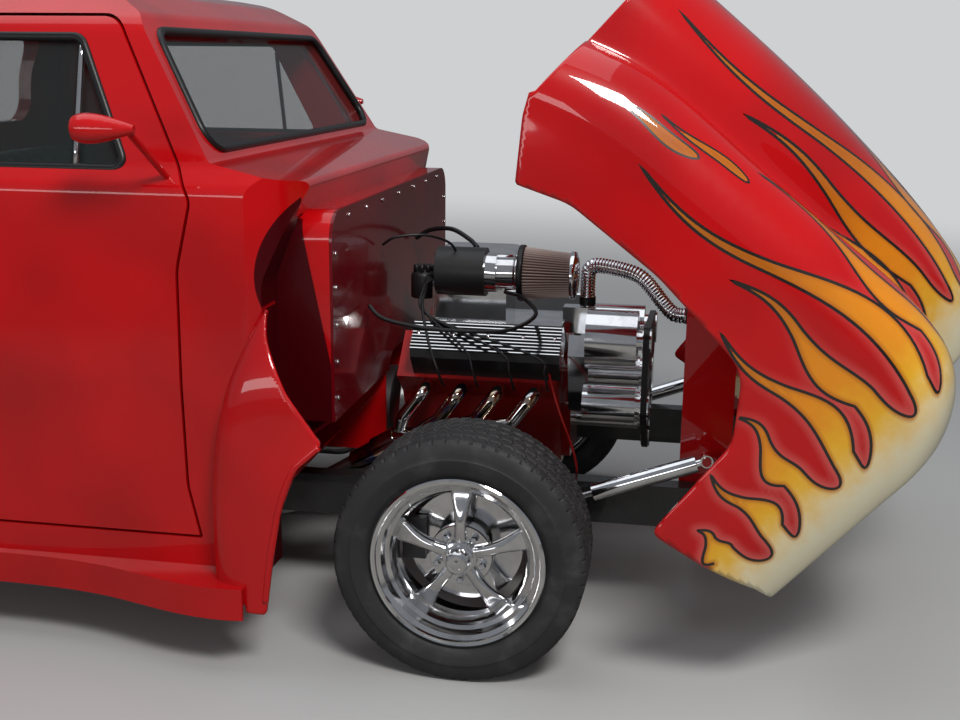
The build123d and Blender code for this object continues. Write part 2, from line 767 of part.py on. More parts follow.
# The parting line between the tilting front end and the cab
parting = ((-327, 650), (-420, 775), (-484, 905), (-512, 1030), (-412, 1276))
parting_radii = (120, 110, 80)
cab_nose = parting[3][0] - half_gap
cab_side_outline = (
    (cab_nose, cab_bottom), (cab_nose, 1030), (-418, 1277), (-652, 1326), (-868, 1692), (-1000, 1766),
    (-1400, roof_z), (-1760, 1768), (-1926, 1580), (cab_back, 1290), (cab_back, cab_bottom),
)
cab_side_radii = (0, 110, 18, 26, 60, 240, 1200, 190, 300, 300, 0)
cab_front_outline = (
    (838, cab_bottom - 60), (cab_side_y + 2, 760), (854, belt_z - 26), (812, belt_z + 30), (724, 1668), (604, 1757),
    (0, roof_z + 2), (-604, 1757), (-724, 1668), (-812, belt_z + 30), (-854, belt_z - 26),
    (-cab_side_y - 2, 760), (-838, cab_bottom - 60),
)
cab_front_radii = (0, 900, 60, 60, 90, 150, 2400, 150, 90, 60, 60, 900, 0)
cab_plan_outline = (
    (-380, 600), (-470, 812), (-570, cab_side_y + 4), (cab_back + 50, cab_side_y + 4), (cab_back - 7, 700),
    (cab_back - 7, -700), (cab_back + 50, -cab_side_y - 4), (-570, -cab_side_y - 4), (-470, -812), (-380, -600),
)
cab_plan_radii = (90, 120, 120, 110, 110, 110, 110, 120, 120, 90)


def cab_form(inset):
    """The cab's outer form drawn in by this much all round."""
    with BuildPart() as form:
        with BuildSketch(side_plane(0)):
            with BuildLine():
                FilletPolyline(*at_axle(cab_side_outline), radius=cab_side_radii, close=True)
            make_face()
            if inset:
                offset(amount=-inset, mode=Mode.REPLACE)
        extrude(amount=1000, both=True)
        with BuildSketch(cross_plane(-1200)):
            with BuildLine():
                FilletPolyline(*cab_front_outline, radius=cab_front_radii, close=True)
            make_face()
            if inset:
                offset(amount=-inset, mode=Mode.REPLACE)
        extrude(amount=1200, both=True, mode=Mode.INTERSECT)
        with BuildSketch(Plane.XY.offset(cab_bottom - 10)):
            with BuildLine():
                FilletPolyline(*at_axle(cab_plan_outline), radius=cab_plan_radii, close=True)
            make_face()
            if inset:
                offset(amount=-inset, mode=Mode.REPLACE)
        extrude(amount=1700, mode=Mode.INTERSECT)
    return form.part


# Door and window outlines, seen from the side
door_outline = (
    (-708, door_sill_z), (-736, 480), (door_front, 1060), (-694, 1234), (-922, door_head_z),
    (-1720, door_head_z), (-1720, door_sill_z),
)
door_radii = (0, 180, 200, 50, 70, 0, 0)
door_window = ((-872, belt_z + 16), (-1014, 1632), (-1598, 1632), (-1612, belt_z + 16))
door_window_radii = (24, 34, 44, 30)
vent_bar_ahead = -1012
vent_bar_width = 14


def side_prism(outline, radii, grow, start, depth):
    """A side outline grown by this much and carried across the truck, from start to the left."""
    with BuildPart() as prism:
        with BuildSketch(side_plane(start)):
            with BuildLine():
                FilletPolyline(*at_axle(outline), radius=radii, close=True)
            make_face()
            if grow:
                offset(amount=grow, mode=Mode.REPLACE)
        extrude(amount=-depth)
    return prism.part


def door_sweep(radius):
    """The cylinder about the left door's hinge that its rear edge follows."""
    with BuildPart() as sweep_round:
        with Locations((front_axle_x + door_hinge_ahead, door_hinge_y, 1000)):
            Cylinder(radius, 2000)
    return sweep_round.part


door_reach = door_hinge_ahead - door_rear
cab_outer = cab_form(0)
cab_inner = cab_form(cab_skin)
glass_outer = cab_form(14)
glass_inner = cab_form(14 + glass_thickness)
screen_foot = at_axle([(-652, 1326)])[0]
screen_head = at_axle([(-868, 1692)])[0]
screen_length = hypot(screen_head[0] - screen_foot[0], screen_head[1] - screen_foot[1])
screen_along = Vector(screen_head[0] - screen_foot[0], 0, screen_head[1] - screen_foot[1]).normalized()
screen_plane = Plane(
    origin=(screen_foot[0], 0, screen_foot[1]), x_dir=(0, 1, 0), z_dir=Vector(0, 1, 0).cross(screen_along)
)
screen_outline = ((-752, 30), (-664, screen_length - 50), (664, screen_length - 50), (752, 30))
rear_window_size = (1040, 290)
rear_window_z = 1495


def window_prisms(shrink):
    """The windscreen's and the rear window's openings as solids, smaller by shrink all round."""
    with BuildPart() as openings:
        with BuildSketch(screen_plane):
            with BuildLine():
                FilletPolyline(*screen_outline, radius=(60, 60, 60, 60), close=True)
            make_face()
            if shrink:
                offset(amount=-shrink, mode=Mode.REPLACE)
        extrude(amount=110, both=True)
        with BuildSketch(cross_plane(cab_back - 60)):
            with Locations((0, rear_window_z)):
                RectangleRounded(rear_window_size[0] - 2 * shrink, rear_window_size[1] - 2 * shrink, 80)
        extrude(amount=200)
    return openings.part


tunnel_half = 150
tunnel_length = 574
low_tunnel_length = 1020
with BuildPart() as cab_body:
    add(cab_outer)
    add(cab_inner, mode=Mode.SUBTRACT)
    add(window_prisms(0), mode=Mode.SUBTRACT)
    # Open below the floor, and ahead of the footwell as far as the firewall
    with Locations((front_axle_x - 1200, 0, floor_z / 2)):
        Box(1560, 2 * (838 - cab_skin - 50), floor_z, mode=Mode.SUBTRACT)
    with Locations((front_axle_x - 480, 0, (floor_z + firewall_top) / 2)):
        Box(240, 2 * (cowl_half - 8), firewall_top - floor_z - 16, mode=Mode.SUBTRACT)
    opening = side_prism(door_outline, door_radii, panel_gap, 560, 400) & door_sweep(door_reach + panel_gap)
    add(opening, mode=Mode.SUBTRACT)
    add(mirror(opening, about=Plane.XZ), mode=Mode.SUBTRACT)
    # Cowl box from the cab's front to the firewall
    with BuildSketch(cross_plane(firewall_ahead - firewall_thickness)):
        with BuildLine():
            FilletPolyline(
                (-cowl_half, 640), (-cowl_half, firewall_top), (cowl_half, firewall_top), (cowl_half, 640),
                radius=(0, cowl_corner, cowl_corner, 0), close=True,
            )
        make_face()
        with BuildLine():
            FilletPolyline(
                (-cowl_half + 8, 630), (-cowl_half + 8, firewall_top - 8), (cowl_half - 8, firewall_top - 8),
                (cowl_half - 8, 630), radius=(0, cowl_corner - 8, cowl_corner - 8, 0), close=True,
            )
        make_face(mode=Mode.SUBTRACT)
    extrude(amount=-180)
    # Floor, sloping toe board and the tunnel over the gearbox
    with BuildSketch(side_plane(-cowl_half)):
        with BuildLine():
            Polyline(
                *at_axle([
                    (cab_back + 20, floor_z), (-640, floor_z), (firewall_ahead - firewall_thickness, 640),
                    (firewall_ahead - firewall_thickness, 652), (-644, floor_z + floor_thickness),
                    (cab_back + 20, floor_z + floor_thickness),
                ]),
                close=True,
            )
        make_face()
    extrude(amount=-2 * cowl_half)
    with Locations((front_axle_x - 1230, 0, floor_z + floor_thickness / 2)):
        Box(1400, 2 * (cab_side_y - cab_skin - 20), floor_thickness)
    with BuildSketch(cross_plane(firewall_ahead - firewall_thickness)):
        with Locations((0, 480)):
            RectangleRounded(2 * tunnel_half, 440, 90)
    extrude(amount=-tunnel_length)
    with BuildSketch(cross_plane(cab_back - 10)):
        with Locations((0, 440)):
            RectangleRounded(190, 300, 50)
    extrude(amount=low_tunnel_length)
    with BuildSketch(cross_plane(firewall_ahead)):
        with Locations((0, 475)):
            RectangleRounded(2 * tunnel_half - 16, 434, 82)
    extrude(amount=-tunnel_length, mode=Mode.SUBTRACT)
    with BuildSketch(cross_plane(cab_back - 20)):
        with Locations((0, 432)):
            RectangleRounded(174, 300, 42)
    extrude(amount=low_tunnel_length + 30, mode=Mode.SUBTRACT)
    with Locations((front_axle_x - 1200, 0, floor_z / 2 - 30)):
        Box(1600, 2 * tunnel_half + 20, floor_z - 60, mode=Mode.SUBTRACT)
    # Rubber mounts that stand on the rails
    mount_foot = rail_bottom + rail_height + fit
    with Locations(*[
        (front_axle_x + ahead, side * rail_y, (mount_foot + floor_z + 2) / 2) for ahead in (-700, -1800) for side in (-1, 1)
    ]):
        Cylinder(28, floor_z + 2 - mount_foot)
save(cab_body.part, "cab_body")

with BuildPart() as firewall:
    with BuildSketch(cross_plane(firewall_ahead - firewall_thickness)):
        with BuildLine():
            FilletPolyline(
                (-cowl_half, 640), (-cowl_half, firewall_top), (cowl_half, firewall_top), (cowl_half, 640),
                radius=(0, cowl_corner, cowl_corner, 0), close=True,
            )
        make_face()
        with Locations((0, 475)):
            RectangleRounded(2 * tunnel_half - 16, 434, 82, mode=Mode.SUBTRACT)
    extrude(amount=firewall_thickness)
save(firewall.part, "firewall")

with BuildPart() as cab_glass:
    add(glass_outer)
    add(glass_inner, mode=Mode.SUBTRACT)
    add(window_prisms(fit), mode=Mode.INTERSECT)
save(cab_glass.part, "cab_glass")

# Doors, cut from the cab's own wall, each with its mirror's arm and shell
mirror_middle = (-846, 1000, 1418)
with BuildPart() as door:
    add(cab_outer)
    add(cab_inner, mode=Mode.SUBTRACT)
    add(side_prism(door_outline, door_radii, 0, 560, 400), mode=Mode.INTERSECT)
    add(door_sweep(door_reach), mode=Mode.INTERSECT)
    add(side_prism(door_window, door_window_radii, 0, 560, 400), mode=Mode.SUBTRACT)
    # Columns: how far ahead of the axle, radius of the mirror's shell there
    for ahead, radius in ((-906, 30), (-884, 36), (-835, 32), (-785, 19), (-756, 9)):
        with BuildSketch(cross_plane(ahead)):
            with Locations(mirror_middle[1:]):
                Circle(radius)
    loft()
    arm_foot = Vector(front_axle_x - 756, 832, 1292)
    arm_head = Vector(front_axle_x - 776, mirror_middle[1], mirror_middle[2])
    with BuildSketch(Plane(origin=arm_foot, x_dir=(1, 0, 0), z_dir=(arm_head - arm_foot).normalized())):
        Circle(9)
    extrude(amount=(arm_head - arm_foot).length)
save(door.part, "door_left")
save(mirror(door.part, about=Plane.XZ), "door_right")

with BuildPart() as door_glass:
    add(glass_outer)
    add(glass_inner, mode=Mode.SUBTRACT)
    add(side_prism(door_window, door_window_radii, -fit, 560, 400), mode=Mode.INTERSECT)
save(door_glass.part, "door_glass_left")
save(mirror(door_glass.part, about=Plane.XZ), "door_glass_right")

# Fender tails: the part of each front fender that stays with the cab
tail_front = [(ahead - half_gap, height) for ahead, height in reversed(parting[:3])]
tail_outline = [
    (-700, cab_bottom), (-700, 990), (-504 - half_gap, 990), *tail_front,
    (-398, 580), (-440, 470), (-466, 330), (-488, 180), (-546, 180), (-546, cab_bottom),
]
tail_radii = (0, 0, 12, 110, 120, 8, 90, 110, 90, 10, 10, 0)
tail_skin = 10
tail_inner_y = 800
tail_shoulder = 150
tail_reach = -290
# Columns: height, the rear edge ahead of the axle, distance out from the middle
tail_stations = (
    (150, -652, 956), (cab_bottom, -652, 954), (540, -649, 951), (700, -622, 946), (800, -590, 934),
    (880, -553, 908), (940, -519, 876), (985, -487, 846),
)


def tail_form(inset):
    """A fender tail's form: a bulge lofted upward and trimmed to its side outline."""
    with BuildPart() as form:
        for height, rear, out in tail_stations:
            back = front_axle_x + rear + inset
            front = front_axle_x + tail_reach
            inner = tail_inner_y - inset
            edge = out - inset
            with BuildSketch(Plane.XY.offset(height)):
                with BuildLine():
                    rounding = Bezier(
                        (back, inner), (back, inner + 0.85 * (edge - inner)), (back + 0.3 * tail_shoulder, edge),
                        (back + tail_shoulder, edge),
                    )
                    Polyline(rounding @ 1, (front, edge), (front, inner), rounding @ 0)
                make_face()
        loft()
        with BuildSketch(side_plane(tail_inner_y - inset)):
            with BuildLine():
                FilletPolyline(*at_axle(tail_outline), radius=tail_radii, close=True)
            make_face()
            if inset:
                offset(amount=-inset, mode=Mode.REPLACE)
        extrude(amount=-200, mode=Mode.INTERSECT)
    return form.part


with BuildPart() as fender_tails:
    add(tail_form(0))
    add(tail_form(tail_skin), mode=Mode.SUBTRACT)
    with Locations((front_axle_x - 1000, 0, 1000)):
        Box(2 * (1000 + cab_nose + 4), 2 * (cab_side_y + 3), 2000, mode=Mode.SUBTRACT)
    mirror(about=Plane.XZ)
save(fender_tails.part, "fender_tails")

# Running boards, narrower amidships, with a turned-down outer edge
board_drop = 87
board_sheet = 10
# Columns: ahead of the axle, distance out from the middle
board_edge = ((-547, 972), (-700, 968), (-950, 900), (-1300, 868), (-1650, 890), (-1900, 940), (-2060, 955))
with BuildPart() as running_boards:
    with BuildSketch(Plane.XY.offset(cab_bottom - board_drop)):
        with BuildLine():
            curve = Spline(*at_axle(board_edge))
            Polyline(curve @ 1, (front_axle_x - 2060, 800), (front_axle_x - 547, 800), curve @ 0)
        make_face()
    extrude(amount=board_drop)
    with BuildSketch(Plane.XY.offset(cab_bottom - board_drop)):
        with BuildLine():
            curve = Spline(*[(x, y - board_sheet) for x, y in at_axle(board_edge)])
            Polyline(curve @ 1, (front_axle_x - 2060, 790), (front_axle_x - 547, 790), curve @ 0)
        make_face()
    extrude(amount=board_drop - board_sheet, mode=Mode.SUBTRACT)
    mirror(about=Plane.XZ)
save(running_boards.part, "running_boards")

# Inside the cab
with BuildPart() as dashboard:
    with BuildSketch(side_plane(0)):
        with BuildLine():
            FilletPolyline(
                *at_axle([(-566, 1262), (-768, 1262), (-792, 1222), (-780, 1122), (-736, 1085), (-566, 1085)]),
                radius=(0, 14, 20, 24, 16, 0), close=True,
            )
        make_face()
    extrude(amount=1000, both=True)
    add(cab_form(cab_skin + fit), mode=Mode.INTERSECT)
save(dashboard.part, "dashboard")

column_y = 360
column_lean = 28
wheel_hub = Vector(front_axle_x - 905, column_y, 1130)
column_way = Vector(cos(radians(column_lean)), 0, -sin(radians(column_lean)))
steering_radius = 185
with BuildPart() as steering_wheel:
    with BuildSketch(Plane(origin=wheel_hub, x_dir=(0, 1, 0), z_dir=Vector(0, 1, 0).cross(column_way))):
        with Locations((steering_radius, 0)):
            Circle(13)
    revolve(axis=Axis(wheel_hub, column_way))
    with BuildSketch(Plane(origin=wheel_hub + column_way * 6, x_dir=(0, 1, 0), z_dir=column_way)):
        Circle(46)
        for turn in (0, 180, 270):
            with Locations(Location((0, 0, 0), (0, 0, turn))):
                with Locations((steering_radius / 2, 0)):
                    Rectangle(steering_radius, 30)
    extrude(amount=8)
    with BuildSketch(Plane(origin=wheel_hub + column_way * 12, x_dir=(0, 1, 0), z_dir=column_way)):
        Circle(30)
    extrude(amount=38)
save(steering_wheel.part, "steering_wheel")

column_start = wheel_hub + column_way * (50 + fit)
column_run = (front_axle_x + firewall_ahead - firewall_thickness - 16 - column_start.X) / column_way.X
with BuildPart() as steering_column:
    with BuildSketch(Plane(origin=column_start, x_dir=(0, 1, 0), z_dir=column_way)):
        Circle(26)
    extrude(amount=column_run)
    with Locations((front_axle_x + firewall_ahead - firewall_thickness - fit - 6, column_y,
                    column_start.Z + column_way.Z * column_run - 4)):
        Box(12, 110, 110)
    with Locations((front_axle_x - 735, column_y, 1060)):
        Box(40, 60, 50 - 2 * fit)
save(steering_column.part, "steering_column")

seat_half = 640
seat_base_top = 600
with BuildPart() as seat_base:
    with Locations((front_axle_x - 1420, 0, (floor_z + floor_thickness + seat_base_top) / 2)):
        Box(740, 2 * seat_half - 60, seat_base_top - floor_z - floor_thickness)
        Box(740, 200, seat_base_top - floor_z - floor_thickness, mode=Mode.SUBTRACT)
save(seat_base.part, "seat_base")

with BuildPart() as seat_cushion:
    with BuildSketch(side_plane(0)):
        with BuildLine():
            FilletPolyline(
                *at_axle([(-1640, seat_base_top + fit), (-1030, seat_base_top + fit), (-1020, 792), (-1640, 762)]),
                radius=(10, 30, 60, 20), close=True,
            )
        make_face()
    extrude(amount=seat_half, both=True)
save(seat_cushion.part, "seat_cushion")

with BuildPart() as seat_back:
    with BuildSketch(side_plane(0)):
        with BuildLine():
            FilletPolyline(
                *at_axle([(-1780, seat_base_top + fit), (-1642, seat_base_top + fit), (-1700, 1270), (-1850, 1270)]),
                radius=(20, 20, 60, 60), close=True,
            )
        make_face()
    extrude(amount=seat_half, both=True)
save(seat_back.part, "seat_back")

# Tilting front end, modelled shut
# Columns: ahead of the axle, hood top, hood half width, bottom of its shoulder, valley between
# hood and fender, fender crest, fender's outer side
shell_stations = (
    (-600, 1258, 790, 1110, 900, 905, 940),
    (-350, 1268, 772, 1120, 1005, 1015, 950),
    (0, 1280, 710, 1130, 1035, 1050, 955),
    (350, 1270, 610, 1130, 1050, 1070, 952),
    (620, 1240, 510, 1110, 1040, 1068, 935),
    (760, 1195, 440, 1060, 980, 1005, 900),
    (806, 1165, 412, 1032, 940, 955, 872),
    (845, 1128, 385, 1000, 896, 898, 838),
)
nose_plane_ahead = 806
crown_drop = 24
crest_inset = 120
fender_round = 190
shell_bottom = 225
arc_bulge = 0.72


def shell_section(station, inset):
    """One closed cross-section of the hood and fenders, drawn in by this much."""
    ahead, top, half, side_z, valley_z, crest_z, out = station
    top, half, valley_z, crest_z, out = (size - inset for size in (top, half, valley_z, crest_z, out))
    bottom = shell_bottom - 3 * inset
    crown = (0.62 * half, top - crown_drop)
    shoulder = (half, side_z)
    valley = (half + 22, valley_z)
    crest = (out - crest_inset, crest_z)
    side = (out, crest_z - fender_round)
    for_hood = (
        crown[0] + arc_bulge * (shoulder[0] - crown[0]), shoulder[1] + arc_bulge * (crown[1] - shoulder[1])
    )
    for_fender = (crest[0] + arc_bulge * crest_inset, side[1] + arc_bulge * fender_round)
    with BuildSketch(cross_plane(ahead)) as section:
        with BuildLine():
            ThreePointArc((-crown[0], crown[1]), (0, top), crown)
            ThreePointArc(crown, for_hood, shoulder)
            Line(shoulder, valley)
            Line(valley, crest)
            ThreePointArc(crest, for_fender, side)
            Line(side, (out - 6, bottom))
            Line((out - 6, bottom), (-out + 6, bottom))
            Line((-out + 6, bottom), (-side[0], side[1]))
            ThreePointArc((-side[0], side[1]), (-for_fender[0], for_fender[1]), (-crest[0], crest[1]))
            Line((-crest[0], crest[1]), (-valley[0], valley[1]))
            Line((-valley[0], valley[1]), (-shoulder[0], shoulder[1]))
            ThreePointArc((-shoulder[0], shoulder[1]), (-for_hood[0], for_hood[1]), (-crown[0], crown[1]))
        make_face()
    return section.sketch


def shut_edge(points):
    """The parting line moved forward by half the gap, for the tilting side."""
    return [(ahead + half_gap, height) for ahead, height in points]


shell_profile = shut_edge(parting) + [
    (-404, 1400), (900, 1400), (900, 330), (776, 327), (630, 288), (488, 263), (462, 560), (352, 704),
    (60, 724), (-200, 704),
]
shell_profile_radii = (10,) + parting_radii + (60, 0, 0, 0, 0, 30, 20, 90, 120, 400, 160)
grille_size = (880, 236)
grille_z = 700
lamp_y = 664
lamp_z = 800
lamp_radius = 92


def tilted(part):
    """A piece of the front end swung open about its hinge."""
    return part.rotate(Axis((front_axle_x + hinge_ahead, 0, hinge_z), (0, 1, 0)), tilt_open)


with BuildPart() as shell_hollow:
    for station in shell_stations[:-1]:
        add(shell_section(station, front_skin))
    loft()

with BuildPart() as shell_keep:
    with BuildSketch(side_plane(0)):
        with BuildLine():
            FilletPolyline(*at_axle(shell_profile), radius=shell_profile_radii, close=True)
        make_face()
    extrude(amount=1200, both=True)

with BuildPart() as front_shell:
    for station in shell_stations:
        add(shell_section(station, 0))
    loft()
    add(shell_hollow.part, mode=Mode.SUBTRACT)
    add(shell_keep.part, mode=Mode.INTERSECT)
    with BuildSketch(cross_plane(nose_plane_ahead - 60)):
        with Locations((0, grille_z)):
            RectangleRounded(grille_size[0], grille_size[1], 100)
        with Locations((-lamp_y, lamp_z), (lamp_y, lamp_z)):
            Circle(lamp_radius)
    extrude(amount=120, mode=Mode.SUBTRACT)
    split(bisect_by=Plane.XZ, keep=Keep.BOTTOM)
    mirror(about=Plane.XZ)
save(tilted(front_shell.part), "front_shell")

# Headlamps: bezel, reflector bowl and lens, seated in the fenders' noses
with BuildPart() as headlamps:
    for side in (-1, 1):
        with BuildSketch(Plane(origin=(front_axle_x, side * lamp_y, lamp_z), x_dir=(1, 0, 0), z_dir=(0, -1, 0))):
            with BuildLine():
                face = shell_stations[-1][0] + fit
                Polyline(
                    (nose_plane_ahead - 40, 0), (nose_plane_ahead - 40, 40), (nose_plane_ahead, lamp_radius - fit),
                    (face, lamp_radius - fit), (face, lamp_radius + 12), (face + 10, lamp_radius + 8),
                    (face + 14, lamp_radius - 6), (face + 8, lamp_radius - 12), (face + 20, 50), (face + 24, 0),
                    close=True,
                )
            make_face()
        revolve(axis=Axis((front_axle_x, side * lamp_y, lamp_z), (1, 0, 0)))
save(tilted(headlamps.part), "headlamps")

# Grille: a bright oval frame with cross bars
bar_count = 5
with BuildPart() as grille:
    with BuildSketch(cross_plane(nose_plane_ahead + 4)):
        with Locations((0, grille_z)):
            RectangleRounded(grille_size[0] - 2 * fit, grille_size[1] - 2 * fit, 100 - fit)
            RectangleRounded(grille_size[0] - 26, grille_size[1] - 26, 87, mode=Mode.SUBTRACT)
        for bar in range(bar_count):
            height = grille_z + (bar - (bar_count - 1) / 2) * 38
            with Locations((0, height)):
                Rectangle(grille_size[0] - 14 - 110 * abs(bar - 2) / 2 * 0.8, 12)
    extrude(amount=24)
    with Locations(*[(front_axle_x + nose_plane_ahead + 10, y, grille_z) for y in (-220, 0, 220)]):
        Box(10, 16, grille_size[1] - 20)
save(tilted(grille.part), "grille")

# Hinge frame inside the tilting front end: arms from the strut pins past the hinge pins to the nose
arm_inner = rail_y + rail_width / 2 + 10
arm_plate = 10


def turned_about_hinge(point, angle):
    """A side-view point swung about the hinge by this many degrees."""
    across, up = point[0] - hinge_ahead, point[1] - hinge_z
    turn = radians(angle)
    return (hinge_ahead + across * cos(turn) + up * sin(turn), hinge_z - across * sin(turn) + up * cos(turn))


strut_head_open = (620, 516)
strut_head = turned_about_hinge(strut_head_open, -tilt_open)
with BuildPart() as hinge_frame:
    for side in (-1, 1):
        with BuildSketch(side_plane(side * arm_inner)):
            with BuildLine():
                Polyline(
                    *at_axle([
                        (strut_head[0], strut_head[1] - 16), (hinge_ahead, hinge_z - 24), (nose_plane_ahead, hinge_z - 10),
                        (nose_plane_ahead, hinge_z + 130), (nose_plane_ahead - 30, hinge_z + 130),
                        (hinge_ahead - 30, hinge_z + 36), (strut_head[0], strut_head[1] + 18),
                    ]),
                    close=True,
                )
            make_face()
            with Locations(at_axle([strut_head])[0]):
                Circle(20)
            with Locations((front_axle_x + hinge_ahead, hinge_z)):
                Circle(26)
        extrude(amount=-side * arm_plate)
        # Columns: place in side view, radius, where the pin starts and ends
        pins = (
            ((hinge_ahead, hinge_z), hinge_pin_radius, rail_y - ear_thickness / 2 - 4, arm_inner + 2),
            ((hinge_ahead, hinge_z), 14, rail_y - ear_thickness / 2 - 8, rail_y - ear_thickness / 2 - 1),
            ((hinge_ahead, hinge_z), 14, rail_y + ear_thickness / 2 + 1, arm_inner + 2),
            (strut_head, hinge_pin_radius, arm_inner + 2, strut_y + strut_eye_width / 2 + 4),
            (strut_head, 13, arm_inner + 2, strut_y - strut_eye_width / 2 - 1),
            (strut_head, 13, strut_y + strut_eye_width / 2 + 1, strut_y + strut_eye_width / 2 + 6),
        )
        for place, radius, start, end in pins:
            with BuildSketch(side_plane(side * start)):
                with Locations(at_axle([place])[0]):
                    Circle(radius)
            extrude(amount=-side * (end - start))
    with Locations((front_axle_x + nose_plane_ahead - 14, 0, hinge_z + 95)):
        Box(28, 2 * arm_inner + 4, 50)
save(tilted(hinge_frame.part), "hinge_frame")

# Struts that hold the front end open: the barrel turns on the hinge frame, the rod slides in it
barrel_radius = 24
barrel_length = 330
rod_radius = 9
bore_depth = 175
strut_run = Vector(strut_foot[0] - strut_head_open[0], 0, strut_foot[1] - strut_head_open[1])
strut_way = strut_run.normalized()
strut_start = Vector(front_axle_x + strut_head_open[0], strut_y, strut_head_open[1])


def strut_plane(along):
    """The plane square to the left strut, this far from its upper pin."""
    return Plane(origin=strut_start + strut_way * along, x_dir=(0, 1, 0), z_dir=strut_way)


with BuildPart() as tilt_cylinders:
    with BuildSketch(strut_plane(14)):
        Circle(11)
    extrude(amount=20)
    with BuildSketch(strut_plane(28)):
        Circle(barrel_radius)
    extrude(amount=barrel_length - 28)
    with BuildSketch(side_plane(strut_y - strut_eye_width / 2)):
        with Locations((strut_start.X, strut_start.Z)):
            Circle(18)
    extrude(amount=-strut_eye_width)
    with BuildSketch(side_plane(strut_y - strut_eye_width / 2 - 1)):
        with Locations((strut_start.X, strut_start.Z)):
            Circle(hinge_pin_radius + fit)
    extrude(amount=-strut_eye_width - 2, mode=Mode.SUBTRACT)
    with BuildSketch(strut_plane(barrel_length + 1)):
        Circle(rod_radius + fit)
    extrude(amount=-bore_depth, mode=Mode.SUBTRACT)
    mirror(about=Plane.XZ)
save(tilt_cylinders.part, "tilt_cylinders")

with BuildPart() as tilt_rods:
    with BuildSketch(strut_plane(barrel_length - 60)):
        Circle(rod_radius)
    extrude(amount=strut_run.length - barrel_length + 60)
    with BuildSketch(side_plane(strut_y - strut_eye_width / 2)):
        with Locations((front_axle_x + strut_foot[0], strut_foot[1])):
            Circle(17)
    extrude(amount=-strut_eye_width)
    mirror(about=Plane.XZ)
save(tilt_rods.part, "tilt_rods")

# Bed: plank floor on its sills, sides with rolled rails and stake pockets, rear fenders, tailgate
plank_count = 8
plank_thickness = 20
sill_height = 62
kick_top = rail_bottom + kick_up + rail_height
floor_back = bed_rear + 45
gate_thickness = 28
gate_hinge_ahead = bed_rear + 21
gate_hinge_z = bed_floor_z + 12
gate_top = bed_rail_z - 10
gate_half = bed_half - bed_wall - 6
bed_inner = bed_half - bed_wall
with BuildPart() as bed_floor:
    with Locations((front_axle_x + (floor_back + bed_front - bed_wall) / 2, 0, bed_floor_z - plank_thickness / 2)):
        Box(bed_front - bed_wall - floor_back, 2 * bed_inner - 2 * fit, plank_thickness)
    for line in range(1, plank_count):
        strip_y = -bed_inner + line * 2 * bed_inner / plank_count
        with Locations((front_axle_x + (floor_back + bed_front - bed_wall) / 2, strip_y, bed_floor_z)):
            Box(bed_front - bed_wall - floor_back, 14, 8)
    # Columns: sill ahead of the axle, top of the rail under it
    for ahead, rail_top in ((-2130, rail_bottom + rail_height), (-2560, kick_top), (-3020, kick_top),
                            (-3700, rail_bottom + tail_lift + rail_height)):
        with Locations((front_axle_x + ahead, 0, bed_floor_z - plank_thickness - 20)):
            Box(70, 2 * bed_inner - 60, 42)
        for side in (-1, 1):
            low, high = rail_top, bed_floor_z - plank_thickness
            with Locations((front_axle_x + ahead, side * rail_y, (low + high) / 2)):
                Box(60, 50, high - low)
save(bed_floor.part, "bed_floor")

rail_tube = 26
bed_wall_low = 540
with BuildPart() as bed_box:
    with BuildSketch(side_plane(bed_inner)):
        with BuildLine():
            FilletPolyline(
                *at_axle([
                    (bed_front, bed_low_z), (bed_front, bed_rail_z), (bed_rear, bed_rail_z),
                    (bed_rear, bed_low_z + 60), (bed_rear + 80, bed_low_z),
                ]),
                radius=(0, 0, 0, 10, 20), close=True,
            )
        make_face()
    extrude(amount=-bed_wall)
    with BuildSketch(cross_plane(bed_rear)):
        with Locations((bed_half - 8, bed_rail_z)):
            Circle(rail_tube)
    extrude(amount=bed_front - bed_rear)
    for ahead in (-2120, -2940, -3760):
        with Locations((front_axle_x + ahead, bed_half + 8, bed_rail_z - 50)):
            Box(64, 26, 104)
    with BuildSketch(side_plane(bed_inner - 1)):
        with Locations((front_axle_x + gate_hinge_ahead, gate_hinge_z)):
            Circle(7 + fit)
    extrude(amount=-14, mode=Mode.SUBTRACT)
    mirror(about=Plane.XZ)
    with Locations((front_axle_x + bed_front - bed_wall / 2, 0, (bed_wall_low + bed_rail_z) / 2)):
        Box(bed_wall, 2 * bed_inner + 2, bed_rail_z - bed_wall_low)
save(bed_box.part, "bed_box")

with BuildPart() as tailgate:
    with BuildSketch(side_plane(-gate_half)):
        with Locations((front_axle_x + gate_hinge_ahead, gate_hinge_z)):
            Circle(gate_thickness / 2)
        with Locations((front_axle_x + gate_hinge_ahead, (gate_hinge_z + gate_top) / 2)):
            Rectangle(gate_thickness, gate_top - gate_hinge_z)
    extrude(amount=-2 * gate_half)
    with BuildSketch(side_plane(-gate_half - 16)):
        with Locations((front_axle_x + gate_hinge_ahead, gate_hinge_z)):
            Circle(7)
    extrude(amount=-2 * gate_half - 32)
    with BuildSketch(cross_plane(gate_hinge_ahead - gate_thickness / 2)):
        with Locations((0, (gate_hinge_z + gate_top) / 2 + 10)):
            RectangleRounded(2 * gate_half - 160, 250, 40)
    extrude(amount=8, mode=Mode.SUBTRACT)
save(tailgate.part, "tailgate")

